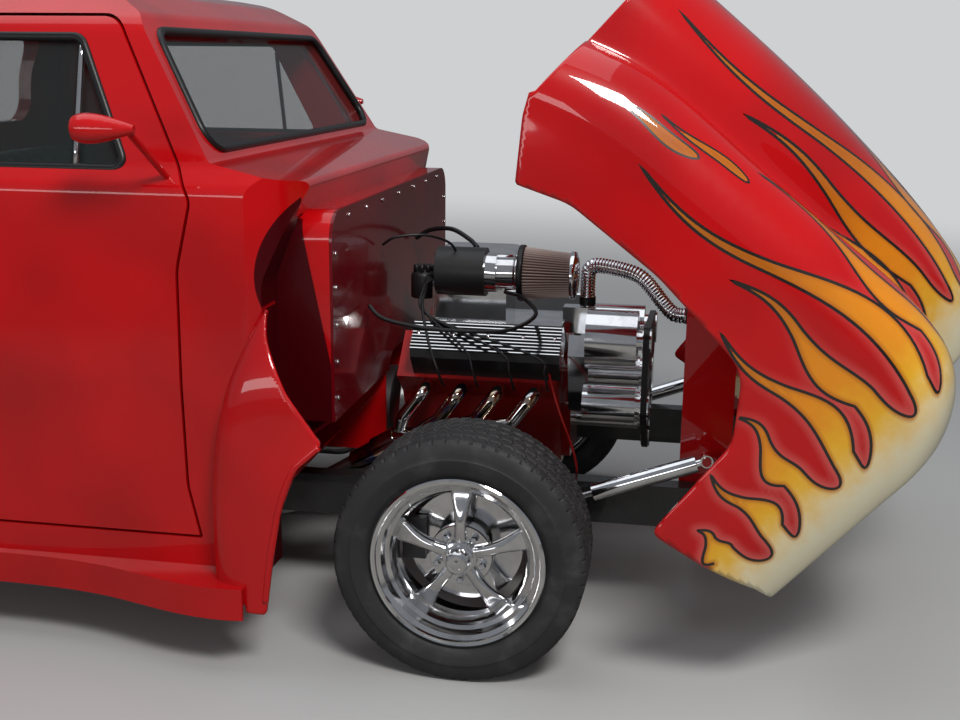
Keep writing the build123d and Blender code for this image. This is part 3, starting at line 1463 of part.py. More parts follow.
fender_skin = 12
rear_arch_radius = 402
fender_outline = (
    (-2064, cab_bottom), (-2120, 560), (-2330, 850), (-2600, 968), (-3000, 968), (-3260, 840),
    (-3450, 560), (-3500, 330), (-3500, 300), (-2064, 200),
)
fender_radii = (0, 200, 260, 260, 260, 260, 240, 0, 0, 0)
fender_plan = (
    (-2050, bed_half), (-2070, 850), (-2300, fender_half), (-3180, fender_half), (-3440, 850), (-3520, bed_half),
)
fender_plan_radii = (0, 120, 400, 400, 160, 0)
fender_cross = ((bed_half - 40, 100), (bed_half - 40, 1000), (bed_half + 60, 1000), (fender_half, 850), (fender_half, 100))
fender_cross_radii = (0, 0, 120, 150, 0)


def rear_fender_form(inset):
    """A rear fender's form drawn in: its side, plan and cross outlines crossed."""
    with BuildPart() as form:
        with BuildSketch(side_plane(bed_half - inset)):
            with BuildLine():
                FilletPolyline(*at_axle(fender_outline), radius=fender_radii, close=True)
            make_face()
            if inset:
                offset(amount=-inset, mode=Mode.REPLACE)
        extrude(amount=-600)
        with BuildSketch(Plane.XY.offset(150)):
            with BuildLine():
                FilletPolyline(
                    *[(x, y - 2 * inset) for x, y in at_axle(fender_plan)], radius=fender_plan_radii, close=True
                )
            make_face()
        extrude(amount=1000, mode=Mode.INTERSECT)
        with BuildSketch(cross_plane(-wheelbase)):
            with BuildLine():
                FilletPolyline(
                    *[(y - inset, z - inset) for y, z in fender_cross], radius=fender_cross_radii, close=True
                )
            make_face()
        extrude(amount=900, both=True, mode=Mode.INTERSECT)
    return form.part


with BuildPart() as rear_fenders:
    add(rear_fender_form(0))
    add(rear_fender_form(fender_skin), mode=Mode.SUBTRACT)
    with BuildSketch(side_plane(bed_half - 5)):
        with Locations((front_axle_x - wheelbase, rear_tyre_radius)):
            Circle(rear_arch_radius)
        with Locations((front_axle_x - wheelbase, rear_tyre_radius - 200)):
            Rectangle(2 * rear_arch_radius, 400)
    extrude(amount=-500, mode=Mode.SUBTRACT)
    mirror(about=Plane.XZ)
save(rear_fenders.part, "rear_fenders")

# Rolled rear pan below the tailgate, with round tail lamps
pan_low = 400
pan_high = bed_floor_z - 30
pan_front = rail_tail - fit
with BuildPart() as rear_pan:
    with BuildSketch(side_plane(0)):
        with BuildLine():
            FilletPolyline(
                *at_axle([
                    (pan_front, pan_high), (bed_rear - 6, pan_high), (bed_rear - 20, pan_high - 60),
                    (bed_rear - 12, pan_low + 60), (bed_rear + 40, pan_low), (pan_front, pan_low),
                    (pan_front, pan_low + 12), (bed_rear + 44, pan_low + 12), (bed_rear + 0, pan_low + 66),
                    (bed_rear - 8, pan_high - 60), (bed_rear + 4, pan_high - 12), (pan_front, pan_high - 12),
                ]),
                radius=(0, 10, 30, 40, 20, 0, 0, 14, 30, 20, 6, 0), close=True,
            )
        make_face()
    extrude(amount=bed_inner - fit, both=True)
save(rear_pan.part, "rear_pan")

with BuildPart() as tail_lamps:
    with BuildSketch(cross_plane(bed_rear - 20 - fit)):
        with Locations((-510, pan_high - 60), (510, pan_high - 60)):
            Circle(42)
    extrude(amount=-16)
    fillet(tail_lamps.faces().sort_by(Axis.X)[:2].edges(), 8)
save(tail_lamps.part, "tail_lamps")
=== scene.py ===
# %% [markdown]
# # A flame-painted pickup hot rod with its front end tilted open
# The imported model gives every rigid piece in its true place. This notebook gives those pieces
# their paint, metal, rubber and glass, and adds what is too fine for the solids: the smooth skin
# of the front end, tyre tread, seals, bolts, wires, hoses and stitching. Lengths are in metres.
# Side-view places are written as distance ahead of the front axle, as on the truck's drawings.

import bpy
import json
import numpy as np
from math import cos, pi, radians, sin
from mathutils import Matrix, Vector


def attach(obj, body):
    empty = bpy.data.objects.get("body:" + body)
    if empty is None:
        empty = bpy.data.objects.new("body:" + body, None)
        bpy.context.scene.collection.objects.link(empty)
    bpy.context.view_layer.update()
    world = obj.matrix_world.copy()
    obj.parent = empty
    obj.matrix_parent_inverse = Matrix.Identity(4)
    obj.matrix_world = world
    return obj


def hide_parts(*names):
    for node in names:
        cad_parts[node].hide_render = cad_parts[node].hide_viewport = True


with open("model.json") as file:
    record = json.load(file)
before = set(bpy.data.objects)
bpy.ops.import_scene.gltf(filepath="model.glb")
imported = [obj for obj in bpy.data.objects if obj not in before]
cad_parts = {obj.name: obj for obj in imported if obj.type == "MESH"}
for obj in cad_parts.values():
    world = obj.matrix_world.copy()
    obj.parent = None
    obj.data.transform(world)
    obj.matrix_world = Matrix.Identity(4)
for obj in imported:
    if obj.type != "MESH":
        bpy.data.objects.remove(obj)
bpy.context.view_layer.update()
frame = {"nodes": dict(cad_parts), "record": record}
FRONT_AXLE = 1.31
TAU = 2 * pi


# %% [markdown]
# The camera stood at the truck's right side, a little ahead of the door, at eye height and turned
# down. Its place and lens were solved from the wheels, the door and the cab before the scene
# was written, so only the result stands here. A camera's own axes are its right side, its up side
# and the way behind it, which is why the forward direction changes sign in the matrix.

# %% Camera at the photograph's place
def camera_axes(yaw, pitch, roll):
    """Right, up and forward of a camera turned left by yaw, tipped down by pitch, leaned by roll."""
    level = Vector((-sin(yaw), cos(yaw), 0))
    forward = level * cos(pitch) + Vector((0, 0, -1)) * sin(pitch)
    right = Vector((cos(yaw), sin(yaw), 0))
    up = right.cross(forward)
    return right * cos(roll) + up * sin(roll), up * cos(roll) - right * sin(roll), forward


camera_data = bpy.data.cameras.new("camera")
camera_data.lens = 45.99
camera_data.sensor_width = 36
camera = bpy.data.objects.new("camera", camera_data)
bpy.context.collection.objects.link(camera)
right, up, forward = camera_axes(radians(10.136), radians(13.875), radians(0.573))
camera.matrix_world = Matrix.Translation((1.8778, -3.7423, 1.5911)) @ Matrix(
    (right, up, -forward)
).transposed().to_4x4()
bpy.context.scene.camera = camera
print("camera looks along", [round(v, 3) for v in forward])


# %% [markdown]
# Shader maths reads best as maths. This small class wraps a socket so that plus, minus, times and
# the rest add Math nodes to the material, and a Finish holds one material with its main shader.

# %% Shader maths as Python expressions
class Value:
    """A number that varies over a surface; sums and products with it add Math nodes."""

    def __init__(self, finish, socket):
        self.finish = finish
        self.socket = socket

    def maths(self, operation, *others):
        values = dict(enumerate((self, *others)))
        return self.finish.node("ShaderNodeMath", {"operation": operation}, values)

    def __add__(self, other):
        return self.maths("ADD", other)

    def __mul__(self, other):
        return self.maths("MULTIPLY", other)

    def __sub__(self, other):
        return self.maths("SUBTRACT", other)

    def __rsub__(self, other):
        return self.finish.node("ShaderNodeMath", {"operation": "SUBTRACT"}, {0: other, 1: self})

    def __gt__(self, other):
        return self.maths("GREATER_THAN", other)

    def __lt__(self, other):
        return self.maths("LESS_THAN", other)

    __radd__ = __add__
    __rmul__ = __mul__

    def step(self, low, high, start=0.0, end=1.0):
        """A smooth ramp from start to end as this value goes from low to high."""
        return self.finish.node(
            "ShaderNodeMapRange", {"interpolation_type": "SMOOTHSTEP"},
            {"Value": self, "From Min": low, "From Max": high, "To Min": start, "To Max": end},
        )


class Finish:
    """One material: its nodes, and the shader that they feed."""

    def __init__(self, name, colour, roughness, **sockets):
        self.material = bpy.data.materials.new(name)
        self.material.use_nodes = True
        self.nodes = self.material.node_tree.nodes
        self.links = self.material.node_tree.links
        self.shader = self.nodes["Principled BSDF"]
        self.feed(self.shader, {"Base Color": colour, "Roughness": roughness})
        self.feed(self.shader, {key.replace("_", " "): value for key, value in sockets.items()})
        self.material.diffuse_color = tuple(colour)[:3] + (1,)

    def feed(self, node, inputs):
        for key, value in inputs.items():
            socket = node.inputs[key]
            if isinstance(value, Value):
                self.links.new(value.socket, socket)
            elif isinstance(value, tuple) and len(value) == 3 and socket.type == "RGBA":
                socket.default_value = (*value, 1)
            else:
                socket.default_value = value

    def node(self, kind, settings=None, inputs=None, out=0):
        node = self.nodes.new(kind)
        for key, value in (settings or {}).items():
            setattr(node, key, value)
        self.feed(node, inputs or {})
        return Value(self, node.outputs[out])

    def place(self):
        return self.node("ShaderNodeTexCoord", out="Object")

    def noise(self, size, detail=4.0, rough=0.55, stretch=(1, 1, 1)):
        """Cloudy noise whose lumps are about this many metres across."""
        spot = self.node("ShaderNodeVectorMath", {"operation": "MULTIPLY"}, {0: self.place(), 1: stretch})
        settings = {"Vector": spot, "Scale": 1 / size, "Detail": detail, "Roughness": rough}
        return self.node("ShaderNodeTexNoise", {}, settings)

    def attribute(self, name):
        return self.node("ShaderNodeAttribute", {"attribute_name": name}, out="Fac")

    def mix(self, factor, first, second):
        """A colour that goes from first to second with the factor."""
        node = self.nodes.new("ShaderNodeMix")
        node.data_type = "RGBA"
        for key, value in ((0, factor), (6, first), (7, second)):
            self.feed(node, {key: value})
        return Value(self, node.outputs[2])

    def bump(self, height, distance, strength=1.0):
        settings = {"Height": height, "Distance": distance, "Strength": strength}
        return self.node("ShaderNodeBump", {}, settings, out="Normal")

    def use(self, **sockets):
        self.feed(self.shader, {key.replace("_", " "): value for key, value in sockets.items()})
        return self


# %% [markdown]
# The paint is a deep clear-coated red. Real lacquer is never quite flat: the colour under the coat
# drifts a little from panel to panel and the coat has a faint orange-peel ripple, so both come
# from noise at their true sizes, one of about half a metre and one of a few millimetres.

# %% Paint
RED = (0.56, 0.002, 0.004)
RED_SHADE = (0.42, 0.002, 0.004)
PAINTED_SHADE_RED = (0.055, 0.001, 0.003)
PANEL = 0.45
ORANGE_PEEL = 0.004


def drifting(paint, light, dark):
    """A colour that goes from light to dark and back over the length of a panel."""
    return paint.mix(paint.noise(PANEL, 2.0).step(0.35, 0.7), light, dark)


def lacquer(name, light, dark, roughness=0.32):
    """Clear-coated paint that drifts between two close shades."""
    coat = dict(Coat_Weight=1.0, Coat_Roughness=0.03, IOR=1.45, Specular_IOR_Level=0.15)
    paint = Finish(name, light, roughness, **coat)
    paint.use(
        Base_Color=drifting(paint, light, dark),
        Normal=paint.bump(paint.noise(ORANGE_PEEL, 1.0), 0.00012, 0.25),
        Roughness=paint.noise(0.02).step(0.2, 0.8, roughness - 0.04, roughness + 0.04),
    )
    return paint


red_paint = lacquer("red lacquer", RED, RED_SHADE)
# Painted shade: the firewall is the same red lacquer, darkened to stand for the shade in the engine bay.
wall_paint_with_painted_shade = lacquer("firewall lacquer with painted shade", (0.16, 0.002, 0.006), (0.11, 0.002, 0.005), 0.2)
wall_paint_with_painted_shade.use(Coat_Weight=0.35, Specular_IOR_Level=0.3)
engine_paint = lacquer("engine enamel", (0.42, 0.012, 0.012), (0.34, 0.010, 0.010), 0.3)
print("paints made")


# %% [markdown]
# The cab's front has a recess on each side of the cowl box, which lies in deep shade in the photograph;
# that shade is painted here, dark red with little clear coat. In the side view its rear edge is a parabola,
# on the box's own side it ends at a slanting line, and it fills the faces between box and skin low down.
# All are tests on the place in metres.

# %% The cab's paint
def lacquer_with_painted_shade():
    """The red lacquer, with painted shade: dark red with little coat in the recess beside the cowl box."""
    paint = lacquer("cab lacquer with painted shade", RED, RED_SHADE)
    parts = [paint.node("ShaderNodeSeparateXYZ", {}, {0: paint.place()}, out=axis) for axis in range(3)]
    ahead = parts[0] - FRONT_AXLE
    out = parts[1].maths("ABSOLUTE")
    height = parts[2]
    above_waist = height - 1.045
    shut_line = above_waist * above_waist * 2.43 - 0.532
    # Painted shade: behind the shut line, on the box's side and between box and skin the red goes dark.
    beyond = (ahead - shut_line).step(0.0, 0.003) * (out > 0.735) * (height < 1.262)
    slant = (1.19 - height) * 0.2 - 0.452
    side = (ahead - slant).step(0.002, -0.002) * (out > 0.69) * (out < 0.735) * (height < 1.19)
    inner = (out > 0.72) * (out < 0.815) * (ahead > -0.7) * (height < 0.96)
    painted_shade = (beyond + side + inner).maths("MINIMUM", 1.0)
    paint.use(
        Base_Color=paint.mix(painted_shade, drifting(paint, RED, RED_SHADE), PAINTED_SHADE_RED),
        Coat_Weight=painted_shade.step(0.0, 1.0, 1.0, 0.15),
    )
    return paint


cab_paint = lacquer_with_painted_shade()
print("cab paint:", cab_paint.material.name)


# %% [markdown]
# Bare metals differ by how they were worked. Polished alloy is nearly a mirror with faint buffing
# lines, cast alloy is grainy, chrome is clean, and iron and frame black are rough and a little
# dusty. Exhaust tubes near the heads have turned straw and blue from heat.

# %% Metals
def metal(name, colour, roughness, grain, depth, spread=0.08, metallic=1.0, **sockets):
    """A metal whose roughness and surface vary with a grain of this size."""
    finish = Finish(name, colour, roughness, Metallic=metallic, **sockets)
    speckle = finish.noise(grain, 5.0)
    cloud = finish.noise(0.06, 3.0)
    shade = tuple(0.78 * c for c in colour)
    wear = speckle * 0.5 + cloud * 0.5
    finish.use(
        Roughness=wear.step(0.25, 0.75, max(0.02, roughness - spread), roughness + spread),
        Base_Color=finish.mix(cloud.step(0.4, 0.75), colour, shade),
        Normal=finish.bump(speckle, depth, 0.5),
    )
    return finish


polished = metal("polished alloy", (0.80, 0.80, 0.81), 0.10, 0.0012, 0.00004, 0.05)
cast = metal("cast alloy", (0.52, 0.52, 0.53), 0.36, 0.0016, 0.0003, 0.1)
chrome = metal("chrome plate", (0.84, 0.85, 0.87), 0.045, 0.01, 0.00001, 0.02)
bright_steel = metal("brushed steel", (0.50, 0.50, 0.52), 0.30, 0.001, 0.00008)
iron = metal("painted iron", (0.045, 0.045, 0.05), 0.45, 0.003, 0.0003, 0.12, 0.35)
frame_black = metal("frame black", (0.016, 0.016, 0.018), 0.34, 0.004, 0.0002, 0.12, 0.0, Coat_Weight=0.4)
header_tube = metal("heat-blued chrome", (0.66, 0.67, 0.70), 0.10, 0.004, 0.00003, 0.05)
warmth = header_tube.noise(0.09, 2.0, stretch=(1, 2.2, 1))
straw = header_tube.mix(warmth.step(0.40, 0.56), (0.62, 0.63, 0.66), (0.50, 0.36, 0.22))
header_tube.use(Base_Color=header_tube.mix(warmth.step(0.52, 0.66), straw, (0.16, 0.19, 0.42)))
print("metals made")


# %% [markdown]
# Rubber, glass, cloth, leather and wood follow. Road rubber is a dark grey that is lighter where
# it is dusty; glass is thin, so it gets a little tint and passes most light straight through.

# %% Rubber, glass and trim
def rubbery(name, colour, roughness, grain, depth, dust=0.0):
    finish = Finish(name, colour, roughness, IOR=1.45)
    grit = finish.noise(grain, 4.0)
    film = finish.noise(0.07, 4.0)
    pale = tuple(c + 0.05 for c in colour)
    finish.use(
        Base_Color=finish.mix(film.step(0.45, 0.8) * dust, colour, pale),
        Roughness=grit.step(0.2, 0.8, roughness - 0.1, roughness + 0.1),
        Normal=finish.bump(grit, depth, 0.6),
    )
    return finish


tyre_rubber = rubbery("tyre rubber", (0.022, 0.022, 0.024), 0.62, 0.0015, 0.0004, 0.6)
seal_rubber = rubbery("seal rubber", (0.008, 0.008, 0.009), 0.38, 0.001, 0.0001)
black_plastic = rubbery("black plastic", (0.014, 0.014, 0.015), 0.42, 0.0008, 0.0001)
red_wire = rubbery("red wire cover", (0.50, 0.01, 0.01), 0.35, 0.001, 0.0001)


def pane(name, colour, alpha, roughness=0.02):
    """Thin glass: a shiny skin that mostly lets the view through."""
    finish = Finish(name, colour, roughness, IOR=1.5, Alpha=alpha, Coat_Weight=0.6, Coat_Roughness=0.01)
    smear = finish.noise(0.12, 3.0)
    finish.use(Roughness=smear.step(0.4, 0.8, roughness, roughness + 0.05))
    return finish


window_glass = pane("window glass", (0.03, 0.045, 0.045), 0.30)
lamp_glass = pane("lamp glass", (0.75, 0.78, 0.80), 0.35)
red_lens = Finish("red lens", (0.45, 0.004, 0.006), 0.08, Coat_Weight=1.0, IOR=1.49)
lens_place = {"Vector": red_lens.place(), "Scale": 60.0}
ribs = red_lens.node("ShaderNodeTexWave", {"bands_direction": "Y"}, lens_place)
red_lens.use(Normal=red_lens.bump(ribs, 0.001, 0.5))
print("soft and clear finishes made")


# %% [markdown]
# The seat's leather has pores, the filter's gauze gets painted light on its crests and painted shade in
# its valleys, and the bed's planks have fibres drawn out along the truck.

# %% Leather, gauze and wood
leather = Finish("seat leather", (0.060, 0.050, 0.047), 0.42, IOR=1.45, Sheen_Weight=0.15)
pores = leather.node("ShaderNodeTexVoronoi", {}, {"Vector": leather.place(), "Scale": 420.0})
leather.use(
    Normal=leather.bump(pores, 0.0006, 0.5),
    Base_Color=leather.mix(leather.noise(0.15).step(0.35, 0.7), (0.066, 0.055, 0.050), (0.042, 0.035, 0.033)),
)
gauze = Finish("filter gauze", (0.30, 0.20, 0.17), 0.85)
pleat_light_and_shade = gauze.attribute("pleat")
wires = gauze.node("ShaderNodeTexVoronoi", {}, {"Vector": gauze.place(), "Scale": 900.0})
# Painted shade in the pleats' valleys and painted light on their crests, set by the pleat attribute.
gauze.use(
    Base_Color=gauze.mix(pleat_light_and_shade.step(0.25, 0.85), (0.16, 0.085, 0.07), (0.58, 0.47, 0.43)),
    Normal=gauze.bump(wires, 0.0005, 0.6),
)
wood = Finish("oiled planks", (0.30, 0.15, 0.07), 0.35, Coat_Weight=0.35, Coat_Roughness=0.15)
fibre = wood.noise(0.012, 6.0, 0.6, (0.05, 1, 1))
wood.use(
    Base_Color=wood.mix(fibre.step(0.3, 0.7), (0.36, 0.19, 0.09), (0.17, 0.075, 0.035)),
    Normal=wood.bump(fibre, 0.0006, 0.4),
)
print("leather, gauze and wood made")


# %% [markdown]
# Every piece that the solids give keeps its exact place. Its finish goes into its material slots.

# %% Dress the solids
corners = [f"{end}_{side}" for end in ("front", "rear") for side in ("left", "right")]
wheels = tuple(f"wheel_{corner}" for corner in corners)
panels = ("running_boards", "dashboard", "bed_box", "rear_fenders", "rear_pan", "door_left", "door_right",
          "tailgate", "radiator_support", "hinge_frame")
finishes = {
    red_paint: ("cab_body", "fender_tails", "front_shell", *panels),
    wall_paint_with_painted_shade: ("firewall",),
    engine_paint: ("engine_block",),
    polished: (*wheels, "valve_covers", "accessory_drive", "steering_column", "steering_wheel", "radiator"),
    cast: ("intake", "driveline"),
    chrome: ("radiator_hose", "grille", "tilt_cylinders"),
    header_tube: ("exhaust_headers",),
    bright_steel: ("exhaust_system", "tilt_rods", "tie_rods"),
    iron: ("rear_axle", "knuckle_left", "knuckle_right"),
    frame_black: ("chassis_frame", "front_suspension", "fuel_tank", "seat_base"),
    tyre_rubber: tuple(f"tyre_{corner}" for corner in corners),
    window_glass: ("cab_glass", "door_glass_left", "door_glass_right"),
    lamp_glass: ("headlamps",),
    red_lens: ("tail_lamps",),
    gauze: ("air_filter",),
    leather: ("seat_cushion", "seat_back"),
    wood: ("bed_floor",),
}
for finish, names in finishes.items():
    for name in names:
        frame["nodes"][name].data.materials.clear()
        frame["nodes"][name].data.materials.append(finish.material)
print("finishes given to", sum(len(names) for names in finishes.values()), "solids")


# %% [markdown]
# Surfaces come from grids. A grid of points has rows and columns, and each small square of four
# neighbours becomes one face, so one array of corner numbers serves any shape.

# %% Grids into meshes
def grid_faces(rows, columns, wrap_rows=False, wrap_columns=False):
    """Corner numbers of every square between neighbouring rows and columns."""
    down = np.arange(rows if wrap_rows else rows - 1)
    over = np.arange(columns if wrap_columns else columns - 1)
    row, column = (part.ravel() for part in np.meshgrid(down, over, indexing="ij"))
    here, below, beside = row * columns, (row + 1) % rows * columns, (column + 1) % columns
    return np.stack([here + column, here + beside, below + beside, below + column], axis=1)


def piece(name, points, faces, finish, body, smooth=True, replaces=()):
    """A mesh from an array of points and an array of square faces, riding on a body."""
    mesh = bpy.data.meshes.new(name)
    faces = np.asarray(faces)
    mesh.from_pydata(np.asarray(points, float).reshape(-1, 3).tolist(), [], faces.tolist())
    mesh.validate()
    mesh.polygons.foreach_set("use_smooth", [smooth] * len(mesh.polygons))
    mesh.materials.append(finish.material)
    shape = bpy.data.objects.new(name, mesh)
    bpy.context.collection.objects.link(shape)
    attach(shape, body)
    if replaces:
        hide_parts(*replaces)
    return shape


def joined(parts):
    """Several (points, faces) surfaces as one, their corner numbers carried on."""
    counts = np.cumsum([0] + [len(points) for points, faces in parts[:-1]])
    points = np.concatenate([points for points, faces in parts])
    return points, np.concatenate([np.asarray(faces) + start for (_, faces), start in zip(parts, counts)])


# %% [markdown]
# Round things are profiles turned about an axis, and pipes and wires are circles drawn along a
# smooth path through a few given points.

# %% Turned and drawn shapes
def frame_about(direction):
    """Two directions square to the given one, and the one itself, as unit rows."""
    along = np.asarray(direction, float) / np.linalg.norm(direction)
    helper = np.array([0, 0, 1.0]) if abs(along[2]) < 0.9 else np.array([1.0, 0, 0])
    side = np.cross(helper, along)
    side /= np.linalg.norm(side)
    return side, np.cross(along, side), along


def turned(profile, centre, direction, steps=48):
    """A profile of (radius, height) turned about an axis; the profile's ends close on the axis."""
    profile = np.asarray(profile, float)
    side, up, along = frame_about(direction)
    angle = np.arange(steps) * TAU / steps
    ring = np.cos(angle)[:, None] * side + np.sin(angle)[:, None] * up
    points = profile[:, None, 0, None] * ring[None] + profile[:, None, 1, None] * along + np.asarray(centre)
    return points.reshape(-1, 3), grid_faces(len(profile), steps, wrap_columns=True)[:, ::-1]


def smooth_path(points, count):
    """A rounded line through given points: their Catmull-Rom curve at evenly spaced places."""
    points = np.asarray(points, float)
    padded = np.vstack([2 * points[0] - points[1], points, 2 * points[-1] - points[-2]])
    place = np.linspace(0, len(points) - 1 - 1e-9, count)
    start = place.astype(int)
    t = (place - start)[:, None]
    a, b, c, d = (padded[start + k] for k in range(4))
    return 0.5 * (2 * b + (c - a) * t + (2 * a - 5 * b + 4 * c - d) * t**2 + (3 * b - a - 3 * c + d) * t**3)


def drawn(path, radius, sides=10, caps=True):
    """A round section carried along a path; radius may change along it."""
    path = np.asarray(path, float)
    radius = np.broadcast_to(radius, len(path)).astype(float)
    way = np.gradient(path, axis=0)
    way /= np.linalg.norm(way, axis=1)[:, None]
    side = np.zeros_like(way)
    side[0] = frame_about(way[0])[0]
    for k in range(1, len(path)):
        side[k] = side[k - 1] - way[k] * np.dot(side[k - 1], way[k])
        side[k] /= np.linalg.norm(side[k])
    up = np.cross(way, side)
    angle = np.arange(sides) * TAU / sides
    if caps:
        path = np.vstack([path[:1], path, path[-1:]])
        side, up = (np.vstack([part[:1], part, part[-1:]]) for part in (side, up))
        radius = np.concatenate([[1e-5], radius, [1e-5]])
    ring = np.cos(angle)[None, :, None] * side[:, None] + np.sin(angle)[None, :, None] * up[:, None]
    points = path[:, None] + radius[:, None, None] * ring
    return points.reshape(-1, 3), grid_faces(len(path), sides, wrap_columns=True)[:, ::-1]


def both_sides(part):
    """A surface and its mirror image on the truck's other side, whose faces also point outwards."""
    points, faces = part
    return [part, (points * (1, -1, 1), np.asarray(faces)[:, ::-1])]


def truck_place(points):
    """Millimetres ahead of the front axle, across and up, as the scene's metres."""
    return np.asarray(points) / 1000 + (FRONT_AXLE, 0, 0)


def fitted(name, parts, finish, body="truck", **options):
    """One piece on a body from several surfaces, given in the truck's millimetres."""
    points, faces = joined(parts)
    return piece(name, truck_place(points), faces, finish, body, **options)


# %% [markdown]
# Three small jobs come back on several pieces: leaving out the grid points that no face uses,
# giving a skin its thickness, and marking its points with a number that a finish reads.

# %% Jobs on grids
def in_use(faces, size):
    """The point numbers that the faces use, and the faces renumbered to them alone."""
    used = np.unique(faces)
    order = np.full(size, -1)
    order[used] = np.arange(len(used))
    return used, order[faces]


def thicken(shape, thickness=0.009):
    """Gives a skin its thickness, inwards."""
    wall = shape.modifiers.new("wall", "SOLIDIFY")
    wall.thickness = thickness
    wall.offset = -1


def mark(shape, name, values):
    """A number at every point of a piece, for its finish to read."""
    layer = shape.data.attributes.new(name, "FLOAT", "POINT")
    layer.data.foreach_set("value", values.astype(np.float32))


# %% [markdown]
# The front end is one moulded skin: hood, both fenders and the nose. On the real truck it is a
# shell a centimetre thick. Here it is a grid: rows step forward along the truck, columns run from
# the middle of the hood over the valley and down the fender. The same few heights and widths that
# set the solid's sections set this one, blended by a spline, then a light smoothing along both
# directions gives the soft valley and the rounded nose that moulded panels have.

# %% Sections of the front end
# Columns: ahead of the axle, hood top, hood half width, bottom of its shoulder, valley, crest, outer side
SECTIONS = np.array([
    (-600, 1258, 790, 1110, 900, 905, 940), (-350, 1268, 772, 1120, 1005, 1015, 950),
    (0, 1280, 710, 1130, 1035, 1050, 955), (350, 1270, 610, 1130, 1050, 1070, 952),
    (620, 1240, 510, 1110, 1040, 1068, 935), (760, 1195, 440, 1060, 980, 1005, 900),
    (806, 1165, 412, 1032, 940, 955, 872), (845, 1128, 385, 1000, 896, 898, 838),
], float)
HINGE = (770, 370)
OPEN = radians(42)


def spline(knots, values, place):
    """A natural cubic spline through the knots, for every column of values."""
    gap = np.diff(knots)
    slope = np.diff(values, axis=0) / gap[:, None]
    size = len(knots)
    system, right_side = np.eye(size), np.zeros_like(values)
    inner = np.arange(1, size - 1)
    system[inner, inner - 1] = gap[:-1]
    system[inner, inner] = 2 * (gap[:-1] + gap[1:])
    system[inner, inner + 1] = gap[1:]
    right_side[1:-1] = 6 * (slope[1:] - slope[:-1])
    bend = np.linalg.solve(system, right_side)
    k = np.clip(np.searchsorted(knots, place) - 1, 0, size - 2)
    t, h = (place - knots[k])[:, None], gap[k][:, None]
    return (values[k] + t * (slope[k] - h * (2 * bend[k] + bend[k + 1]) / 6)
            + t**2 * bend[k] / 2 + t**3 * (bend[k + 1] - bend[k]) / (6 * h))


def arc_through(first, middle, last, count):
    """Points on the circle through three points, for many sections at once."""
    a, b = middle - first, last - first
    cross = 2 * (a[:, 0] * b[:, 1] - a[:, 1] * b[:, 0])
    aa, bb = (a**2).sum(1), (b**2).sum(1)
    to_centre = [(b[:, 1] * aa - a[:, 1] * bb) / cross, (a[:, 0] * bb - b[:, 0] * aa) / cross]
    centre = first + np.stack(to_centre, 1)
    radius = np.linalg.norm(first - centre, axis=1)
    start, end = (np.arctan2(*(p - centre).T[::-1]) for p in (first, last))
    sweep = (end - start + pi) % TAU - pi
    angle = start[:, None] + sweep[:, None] * np.linspace(0, 1, count)
    return centre[:, None] + radius[:, None, None] * np.stack([np.cos(angle), np.sin(angle)], 2)


def straight(first, last, count):
    t = np.linspace(0, 1, count)[None, :, None]
    return first[:, None] * (1 - t) + last[:, None] * t


def half_sections(ahead):
    """Half cross-sections (y, z) from the hood's middle down to the fender's foot, one per place."""
    top, half, side_z, valley_z, crest_z, out = spline(SECTIONS[:, 0], SECTIONS[:, 1:], ahead).T
    pair = lambda y, z: np.stack([y, z], 1)
    crown, shoulder = pair(0.62 * half, top - 24), pair(half, side_z)
    valley, crest, side = pair(half + 22, valley_z), pair(out - 120, crest_z), pair(out, crest_z - 190)
    over = pair(crown[:, 0] + 0.72 * (half - crown[:, 0]), side_z + 0.72 * (crown[:, 1] - side_z))
    round_over = pair(crest[:, 0] + 0.72 * 120, side[:, 1] + 0.72 * 190)
    runs = [
        arc_through(pair(-crown[:, 0], crown[:, 1]), pair(0 * top, top), crown, 89)[:, 44:],
        arc_through(crown, over, shoulder, 32)[:, 1:], straight(shoulder, valley, 11)[:, 1:],
        straight(valley, crest, 11)[:, 1:], arc_through(crest, round_over, side, 26)[:, 1:],
        straight(side, pair(out - 6, 0 * out + 225), 65)[:, 1:],
    ]
    return np.concatenate(runs, 1)


def soften(values, axis, reach):
    """Moves every point towards its neighbours' average, weighted by a bell curve."""
    offsets = np.arange(-3 * reach, 3 * reach + 1)
    weights = np.exp(-0.5 * (offsets / reach) ** 2)
    size = values.shape[axis]
    total = 0
    for offset, weight in zip(offsets, weights / weights.sum()):
        total = total + weight * np.take(values, np.clip(np.arange(size) + offset, 0, size - 1), axis)
    return total


# %% [markdown]
# The rows run from the cab to the nose's edge, where they close up: each further row is the last
# section drawn in towards the nose's middle. A bell curve run over the grid both ways rounds it.

# %% Whole skin, with its nose
NOSE = 845
row_places = np.concatenate([np.linspace(-440, 789, 112), np.arange(800, NOSE + 1, 5.0)])
half = half_sections(row_places)
both = np.concatenate([half[:, :0:-1] * (-1, 1), half], 1)
# The sections' own mirror makes the join at the middle smooth before the bell curve runs over it
both = soften(both, 1, 2)
skin = np.concatenate([np.broadcast_to(row_places[:, None, None], both.shape[:2] + (1,)), both], 2)
nose_centre = np.array([NOSE, 0, 690.0])
shrink = np.linspace(1, 0.12, 40)[1:, None, None]
nose = nose_centre + (skin[-1] - nose_centre) * shrink
nose[..., 0] = NOSE
skin = np.concatenate([skin, nose], 0)
skin = soften(skin, 0, 2)
columns = skin.shape[1]
middle = (columns - 1) // 2
print("front end grid:", skin.shape)


# %% [markdown]
# The skin is trimmed where the real one ends: along the curved parting line at the cab, round the
# wheel arch, under the nose, at the grille and at the lamps. Faces outside an outline go, and the
# points left on the ragged edge slide onto the outline, which makes the edge clean.

